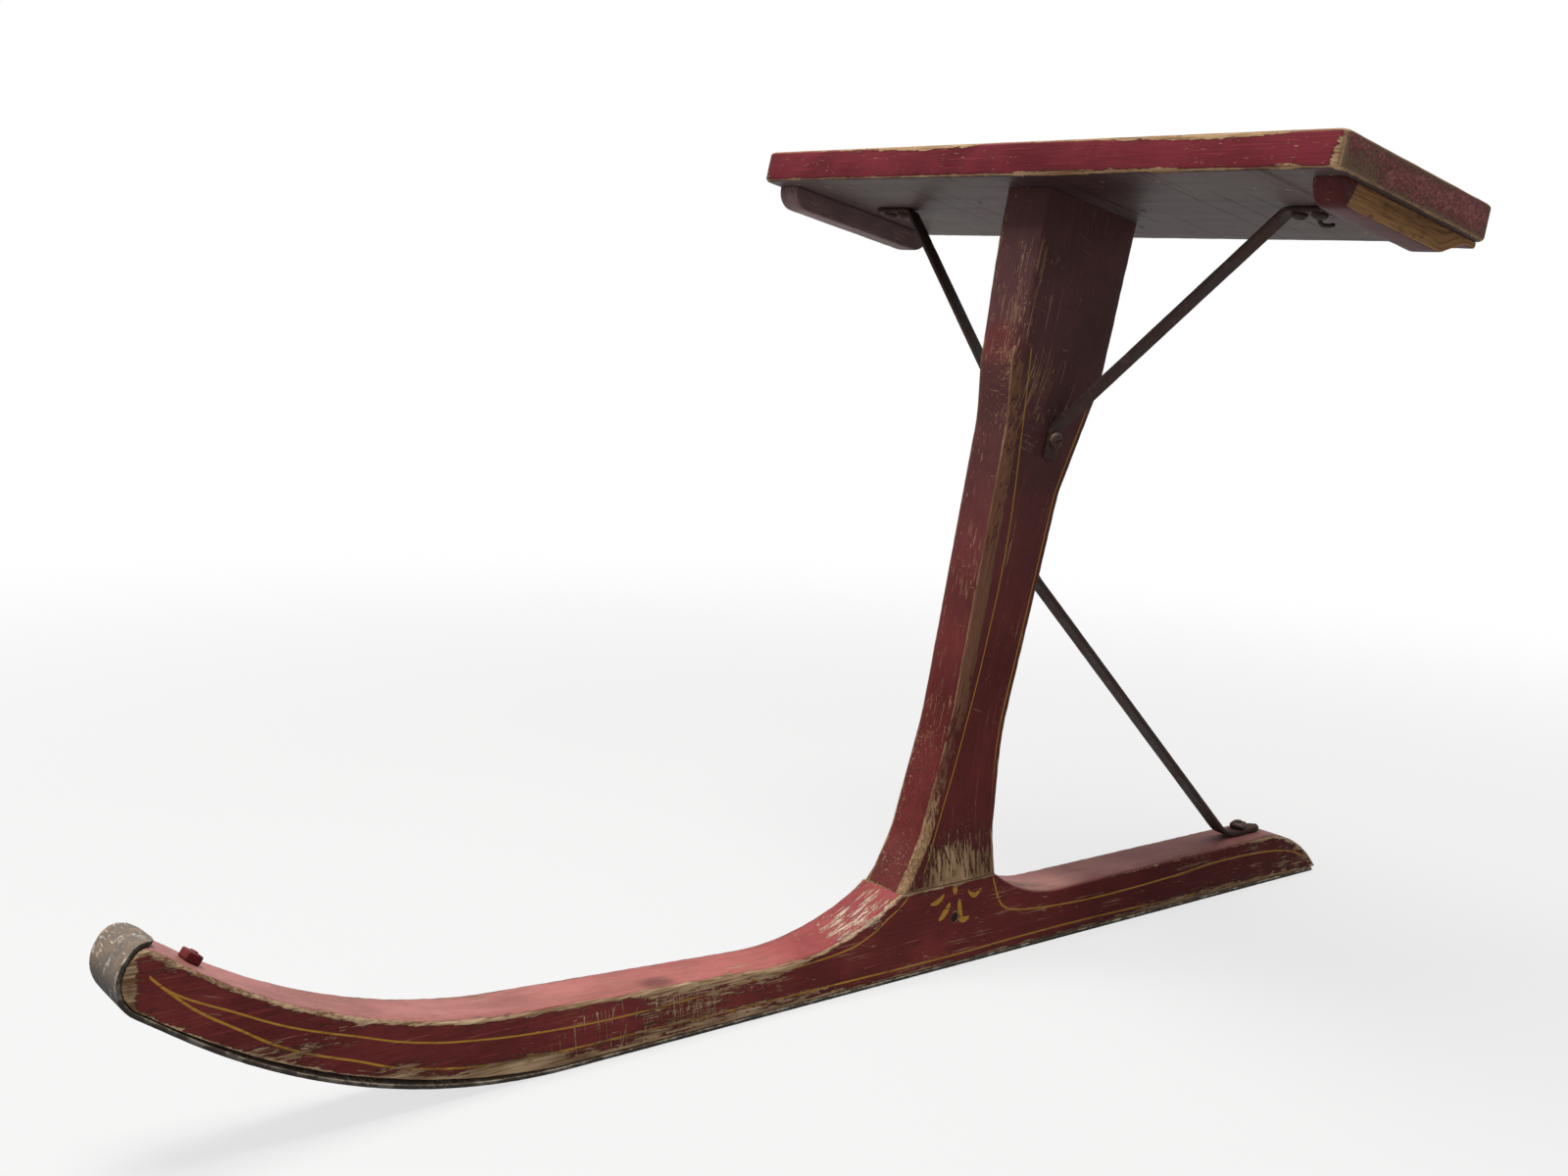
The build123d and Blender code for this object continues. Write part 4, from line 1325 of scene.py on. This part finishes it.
# %% [markdown]
# ## The shoe
# The shoe is a steel strap nailed under the runner. It could be extruded from its side view,
# but its end is a rounded tongue on top of the nose, so it is lofted, and the last sections
# get narrower along a quarter circle. It stands a little off the wood at the bend, which
# gives the dark line seen there.

# %% Shoe mesh
def offset_pairs(path, thickness):
    """Points of a path paired with points to the right of it."""
    pairs = []
    for i, at in enumerate(path):
        run = (path[min(i + 1, len(path) - 1)] - path[max(i - 1, 0)]).normalized()
        pairs.append((at, at + Vector((run.y, -run.x)) * thickness))
    return pairs


def strip(name, path, thickness, half, corners, tongue=0.0):
    """A flat bar along a path, its far end rounded by the tongue's radius."""
    stations, along, last = [], 0.0, path[0]
    whole = sum((b - a).length for a, b in zip(path, path[1:]))
    for inner, outer in offset_pairs(path, thickness):
        along += (inner - last).length
        last = inner
        left = whole - along
        narrow = 0.0
        if left < tongue:
            narrow = tongue - math.sqrt(max(0.0, tongue ** 2 - (tongue - left) ** 2))
        stations.append(station(outer, inner, half - narrow, along, *corners))
    return loft(name, stations, side_steps=2, flat_steps=8)


def finer_tip(start, tip, count):
    """Points from start to tip that crowd toward the tip, where a tongue gets narrow."""
    return [start.lerp(tip, 1 - (1 - i / count) ** 2) for i in range(1, count + 1)]


SHOE_TONGUE = 17.4 * MM
shoe_path = rounded_path([
    (3 * MM - HALF_LENGTH, SOLE, 0),
    (BEND_X + SHOE_GAP / math.sin(NOSE_RISE), SOLE, 345 * MM),
    (*on_nose(NOSE_LENGTH + SHOE_GAP, -SHOE_GAP), NOSE_ROUND + SHOE_GAP),
    (*on_nose(NOSE_LENGTH + SHOE_GAP, NOSE_THICK + SHOE_GAP), NOSE_LIP + SHOE_GAP),
    (*on_nose(NOSE_LENGTH - SHOE_LAP, NOSE_THICK + SHOE_GAP), 0),
], 1.2 * MM)
shoe_path = spread(shoe_path[:-1], 330) + finer_tip(shoe_path[-2], shoe_path[-1], 16)
shoe = strip("runner_shoe_strap", shoe_path, SHOE_THICK, RUNNER_HALF,
             [(0.7 * MM, 0.0), (0.5 * MM, 0.0)], SHOE_TONGUE)
weather(shoe, 0.05 * MM, 0.2 * MM, 90.0)
dress(shoe, worn_steel, "worn_steel", "runner_shoe")


# %% [markdown]
# ## The braces
# A smith made these from flat bar: cut, bent hot at two places, and drilled. The same strip
# function gives them rounded arrises. The two seat braces lie in a plane across the seat, so
# their side view is turned into that plane afterwards.

# %% Seat braces
BRACE_GAP, BRACE_THICK, BRACE_HALF, BRACE_BEND = 0.3 * MM, 3.0 * MM, 5.0 * MM, 7.0 * MM
FLANK, FOOT_LOW, FOOT_HIGH = POST_HALF + BRACE_GAP, -150 * MM, -130 * MM
BRACE_END, TOP_FOOT = 178.0 * MM, 30 * MM
brace_path = rounded_path([
    (FLANK, FOOT_LOW, 0), (FLANK, FOOT_HIGH, BRACE_BEND),
    (BRACE_END - TOP_FOOT, -BRACE_GAP, BRACE_BEND), (BRACE_END, -BRACE_GAP, 0),
], 1.5 * MM)
LEFT = Vector((0, 1, 0))


def slope_axes(angle):
    """The direction along a slope that rises to the front, and the one square to it."""
    rise_cos, rise_sin = math.cos(angle), math.sin(angle)
    return Vector((rise_cos, 0, rise_sin)), Vector((-rise_sin, 0, rise_cos))


def frame_matrix(origin, x_axis, y_axis, z_axis):
    """The matrix that takes local axes to three directions at an origin."""
    turned = Matrix((x_axis, y_axis, z_axis)).transposed().to_4x4()
    return Matrix.Translation(origin) @ turned


def seat_brace(name, side, node):
    """A flat bar from the post's side to the seat's underside, on the left or the right."""
    path = spread(brace_path, 130)
    bar = strip(name, path, BRACE_THICK, BRACE_HALF, [(1.1 * MM, 0.0), (0.6 * MM, 0.0)])
    bar.data.transform(frame_matrix(SEAT_MIDDLE, LEFT * side, seat_along * -side, seat_up))
    weather(bar, 0.1 * MM, 0.15 * MM, 60.0)
    dress(bar, dark_iron, "dark_iron", node)


seat_along, seat_up = slope_axes(SEAT_PITCH)
seat_brace("brace_left_bar", 1, "brace_left")
seat_brace("brace_right_bar", -1, "brace_right")

# %% Rear brace
BACK_A, BACK_B = Vector((-97 * MM, 140 * MM)), Vector((-131 * MM, 284 * MM))
back_run = (BACK_B - BACK_A).normalized()
back_out = Vector((-back_run.y, back_run.x))


def on_back(height, off):
    """A point on the straight stretch of the post's back, standing off it."""
    return BACK_A + back_run * ((height - BACK_A.y) / back_run.y) + back_out * off


REAR_THICK, REAR_HALF, REAR_END = 3.5 * MM, 5.5 * MM, 5.2 * MM
REAR_BOLT_X, REAR_SCREW_Z = -356.0 * MM, 260.0 * MM
rear_path = rounded_path([
    (*on_back(270 * MM, BRACE_GAP), 0), (*on_back(238 * MM, BRACE_GAP), 28 * MM),
    (-338 * MM, REAR_TOP + BRACE_GAP, 28 * MM), (-376 * MM, REAR_TOP + BRACE_GAP, 0),
], 1.5 * MM)
rear_path = spread(rear_path, 170)
rear_path = rear_path[:-3] + finer_tip(rear_path[-4], rear_path[-1], 12)
rear_bar = strip("brace_rear_bar", rear_path, REAR_THICK, REAR_HALF,
                 [(1.3 * MM, 0.0), (0.8 * MM, 0.0)], REAR_END)
weather(rear_bar, 0.1 * MM, 0.15 * MM, 60.0)
dress(rear_bar, dark_iron, "dark_iron", "brace_rear")


# %% [markdown]
# ## Bolts, nuts and screws
# Small fixings catch the light on their rims and slots, and a plain cylinder looks wrong
# even when it is tiny. Heads are turned from a profile, as on a lathe, and a slot is pressed
# into them. Square nuts are small boards with rounded corners, each round a threaded end.

# %% Turned pieces
def turned(name, profile, slot_width=0.0, slot_depth=0.0, steps=40):
    """A round piece from (radius, height) points, outermost first, in metres."""
    points, faces, rim = [], [], []
    dense = []
    for a, b in zip(profile, profile[1:]):
        dense += [Vector(a).lerp(Vector(b), i / 3) for i in range(3)]
    dense.append(Vector(profile[-1]))
    top = max(h for r, h in profile)
    for r, h in dense:
        for i in range(steps):
            a = 2 * math.pi * i / steps
            at = Vector((r * math.cos(a), r * math.sin(a), h))
            if slot_width and abs(at.y) < slot_width / 2 and h > top - slot_depth * 1.6:
                at.z = min(at.z, top - slot_depth)
            points.append(at)
            rim.append(abs(r - profile[0][0]) * 0.6)
    for k in range(len(dense) - 1):
        for i in range(steps):
            j = (i + 1) % steps
            a, b = k * steps, (k + 1) * steps
            faces.append((a + i, a + j, b + j, b + i))
    faces.append(tuple(range(steps))[::-1])
    faces.append(tuple(range(len(points) - steps, len(points))))
    grain = [tuple(p) for p in points]
    return make_piece(name, points, faces, {"rim": rim}, grain)


def domed(radius, height):
    """The profile of a flattened dome."""
    arc = [(radius * math.cos(a), height * (0.28 + 0.72 * math.sin(a)))
           for a in (math.pi / 2 * i / 7 for i in range(7))]
    return [(radius * 0.96, 0.0), *arc, (radius * 0.04, height)]


def threaded(radius, height, pitch=0.8 * MM):
    """The profile of a bolt's end with its thread showing."""
    profile, h = [(radius, 0.0)], 0.0
    while h + pitch < height - 0.3 * MM:
        profile += [(radius * 0.86, h + pitch / 2), (radius, h + pitch)]
        h += pitch
    return profile + [(radius * 0.8, height), (radius * 0.05, height)]


def slotted_head(name, radius, slot, matrix):
    """A domed head 3 mm high, with a slot of given width and depth, put in place."""
    head = turned(name, domed(radius, 3 * MM), *slot)
    head.data.transform(matrix)
    return head


def spun(angle, scale=1.0):
    """A turn about the piece's own axis, and a change of its size."""
    return Matrix.Rotation(angle, 4, "Z") @ Matrix.Scale(scale, 4)


# %% Joined pieces
def joined(name, pieces):
    """One piece from several, each with the matrix that puts it in place."""
    mesh = bpy.data.meshes.new(name)
    gathered = bmesh.new()
    for piece, matrix in pieces:
        piece.data.transform(matrix)
        gathered.from_mesh(piece.data)
        bpy.data.objects.remove(piece)
    gathered.to_mesh(mesh)
    gathered.free()
    made = bpy.data.objects.new(name, mesh)
    bpy.context.scene.collection.objects.link(made)
    return made


def nut_and_end(name, size, thickness, bolt, stand, matrix, worn=0.9 * MM):
    """A square nut, its edges worn round, with the bolt's threaded end coming through it."""
    nut = board("nut", (size, size, thickness), worn, worn,
                Matrix.Translation((0, 0, thickness / 2)), 1.2 * MM)
    end = turned("end", threaded(bolt, thickness + stand))
    return joined(name, [(nut, matrix), (end, matrix)])


# %% Bolt through the post
BOLT_BELOW_SEAT = 138.5 * MM
SCREW_SLOT = (1.1 * MM, 1.0 * MM)
bolt_at = SEAT_MIDDLE - seat_up * BOLT_BELOW_SEAT
to_foot_face = LEFT * (FLANK + BRACE_THICK)
head_place = frame_matrix(bolt_at + to_foot_face, seat_along, seat_up * -1, LEFT)
head = slotted_head("post_bolt_head", 5 * MM, (1.3 * MM, 1.1 * MM), head_place @ spun(0.5))
dress(head, fixing_iron, "fixing_iron", "post_bolt")
nut_place = frame_matrix(bolt_at - to_foot_face, seat_along, seat_up, LEFT * -1)
post_nut = nut_and_end("post_nut_square", 10 * MM, 5 * MM, 2.4 * MM, 2 * MM,
                       nut_place @ spun(0.3, 0.93))
dress(post_nut, fixing_iron, "fixing_iron", "post_nut")

# %% Screws under the seat
for number, (side, inset) in enumerate(((1, 9), (1, 22), (-1, 9), (-1, 22)), start=1):
    at = SEAT_MIDDLE + LEFT * side * (BRACE_END - inset * MM) - seat_up * (BRACE_GAP + BRACE_THICK)
    screw_place = frame_matrix(at, seat_along, LEFT * -1, seat_up * -1)
    screw = slotted_head(f"seat_screw_{number}_head", 4.5 * MM, SCREW_SLOT,
                         screw_place @ spun(0.7 * number))
    dress(screw, dark_iron, "fixing_iron", f"seat_screw_{number}")

# %% Rear brace's screw, bolt and nut
def in_frame(point):
    """A point or direction of the side view, in the frame."""
    return Vector((point[0], 0, point[1]))


screw_at = in_frame(on_back(REAR_SCREW_Z, BRACE_GAP + REAR_THICK))
screw_place = frame_matrix(screw_at, LEFT, in_frame(back_run) * -1, in_frame(back_out))
rear_screw = slotted_head("rear_screw_head", 4.5 * MM, SCREW_SLOT, screw_place @ spun(0.9))
dress(rear_screw, fixing_iron, "fixing_iron", "rear_screw")

foot_top = REAR_TOP + BRACE_GAP + REAR_THICK
foot_place = Matrix.Translation((REAR_BOLT_X, 0, foot_top))
rear_nut = nut_and_end("rear_nut_square", 11 * MM, 5 * MM, 2.9 * MM, 1.0 * MM,
                       foot_place @ spun(0.35, 0.93), worn=2.3 * MM)
dress(rear_nut, fixing_iron, "fixing_iron", "rear_nut", "rear_bolt")

# %% Shoe's bolt
NOSE_BOLT = 117 * MM
nose_along, nose_up = slope_axes(NOSE_RISE)
top_place = frame_matrix(in_frame(on_nose(NOSE_BOLT, NOSE_THICK)), nose_along, LEFT, nose_up)
nose_nut = nut_and_end("nose_nut_square", 8.5 * MM, 5 * MM, 2.4 * MM, 0.6 * MM,
                       top_place @ spun(0.12, 0.95))
painted_nut = old_paint("painted_nut", (0.21, 0.031, 0.035), (0.30, 0.075, 0.07), 12.0,
                        wear=0.15, edge=0.6, pale=(0.2, 0.15, 0.12), deep=(0.05, 0.03, 0.025))
dress(nose_nut, painted_nut, "painted_nut", "nose_bolt")
under_shoe = in_frame(on_nose(NOSE_BOLT, -SHOE_GAP - SHOE_THICK))
nose_head = turned("nose_bolt_head", [(5 * MM, -2.2 * MM), (5 * MM, -0.15 * MM),
                                      (4.6 * MM, 0.0), (0.2 * MM, 0.0)], 1.2 * MM, 1.0 * MM)
nose_head.data.transform(frame_matrix(under_shoe, nose_along, LEFT * -1, nose_up * -1))
dress(nose_head, fixing_iron, "painted_nut", "nose_bolt")

# %% [markdown]
# ## Nails
# Cut nails hold the board to the cleats and the post, and short ones hold the shoe. They are
# driven flush, so only worn heads show. One beside the upper foot of the near brace was bent
# over with the hammer. Their places vary a little, from a seeded generator, since no maker
# measures them.

# %% Nails
chance = random.Random(7)


def nail_heads(name, places, radius, slot):
    """One piece with a small worn head at each place, given as a matrix."""
    profile = [(radius, -0.4 * MM), (radius, 0.0), (radius * 0.8, 0.12 * MM),
               (radius * 0.1, 0.15 * MM)]
    heads = []
    for i, matrix in enumerate(places):
        head = turned(f"nail_{i}", profile, steps=20)
        heads.append((head, matrix @ Matrix.Rotation(chance.uniform(0, 3), 4, "Z")))
    dress(joined(name, heads), fixing_iron, slot, crisp=False)


def on_seat(x, y, height, flip):
    """A place on the board's top, or on its underside when flipped, with Z pointing out."""
    at = SEAT_MIDDLE + seat_along * x + LEFT * y + seat_up * height
    out = seat_up * (-1 if flip else 1)
    return frame_matrix(at, seat_along, out.cross(seat_along), out)


top_spots = [(x, side * 0.211) for side in (1, -1) for x in (-0.052, -0.004, 0.044)]
top_spots += [(x, y) for x in (-0.026, 0.006, 0.036) for y in (-0.008, 0.009)]
nail_heads("seat_top_nails", [
    on_seat(x + chance.uniform(-2, 2) * MM, y + chance.uniform(-2, 2) * MM, 19.95 * MM, False)
    for x, y in top_spots
], 2.4 * MM, "fixing_iron")
under_spots = [(0.0138, -0.0717), (0.0, 0.0284), (-0.0045, 0.0449), (-0.0409, 0.0135)]
nail_heads("seat_under_nails", [on_seat(x, y, -0.02 * MM, True) for x, y in under_spots],
           1.7 * MM, "fixing_iron")
sole_nails = []
FIRST_NAIL, NAIL_STEP = -385 * MM, 74 * MM
for k in range(9):
    at = Vector((FIRST_NAIL + NAIL_STEP * k, chance.uniform(-4, 4) * MM, 0.2 * MM))
    sole_nails.append(Matrix.Translation(at) @ Matrix.Rotation(math.pi, 4, "X"))
nail_heads("shoe_nails", sole_nails, 3.0 * MM, "worn_steel")


# %% Bent nail
def rod(name, points, radius):
    """A round rod bent through points, as a mesh."""
    data = bpy.data.curves.new(name, "CURVE")
    data.dimensions, data.bevel_depth, data.bevel_resolution = "3D", radius, 4
    data.use_fill_caps = True
    line = data.splines.new("NURBS")
    line.points.add(len(points) - 1)
    for point, at in zip(line.points, points):
        point.co = (*at, 1.0)
    line.order_u, line.use_endpoint_u = 3, True
    curve = bpy.data.objects.new(name, data)
    bpy.context.scene.collection.objects.link(curve)
    bpy.context.view_layer.update()
    mesh = bpy.data.meshes.new_from_object(curve)
    bpy.data.objects.remove(curve)
    piece = bpy.data.objects.new(name, mesh)
    bpy.context.scene.collection.objects.link(piece)
    return piece


bends = ((-12, 160, 0.5), (-12, 160, -3), (-15, 160, -5), (-20, 161, -4.4), (-24, 161, -2.6))
bent = rod("bent_nail", [
    SEAT_MIDDLE + (seat_along * x + LEFT * y + seat_up * z) * MM for x, y, z in bends
], 1.2 * MM)
dress(bent, dark_iron, "fixing_iron", crisp=False)

# %% [markdown]
# ## The peg
# The tenon's peg is a whittled dowel whose ends sit a little below the paint. The frame's
# own peg has the right shape, so it only gets end grain, very dark.

# %% Peg finish
peg = Finish("peg_wood")
peg_place = peg.place()
rings = peg.cloud(peg.stretch(peg_place, 900, 60, 900), 1.0, 5.0, 0.6)
peg.finish_with(
    base_color=peg.mix(rings.step(0.35, 0.7), (0.012, 0.007, 0.006), (0.07, 0.035, 0.02)),
    roughness=rings * 0.2 + 0.7, normal=peg.bump(rings, 0.3 * MM), specular=0.2,
)
nodes["tenon_peg"].data.materials.clear()
nodes["tenon_peg"].data.materials.append(peg.data)
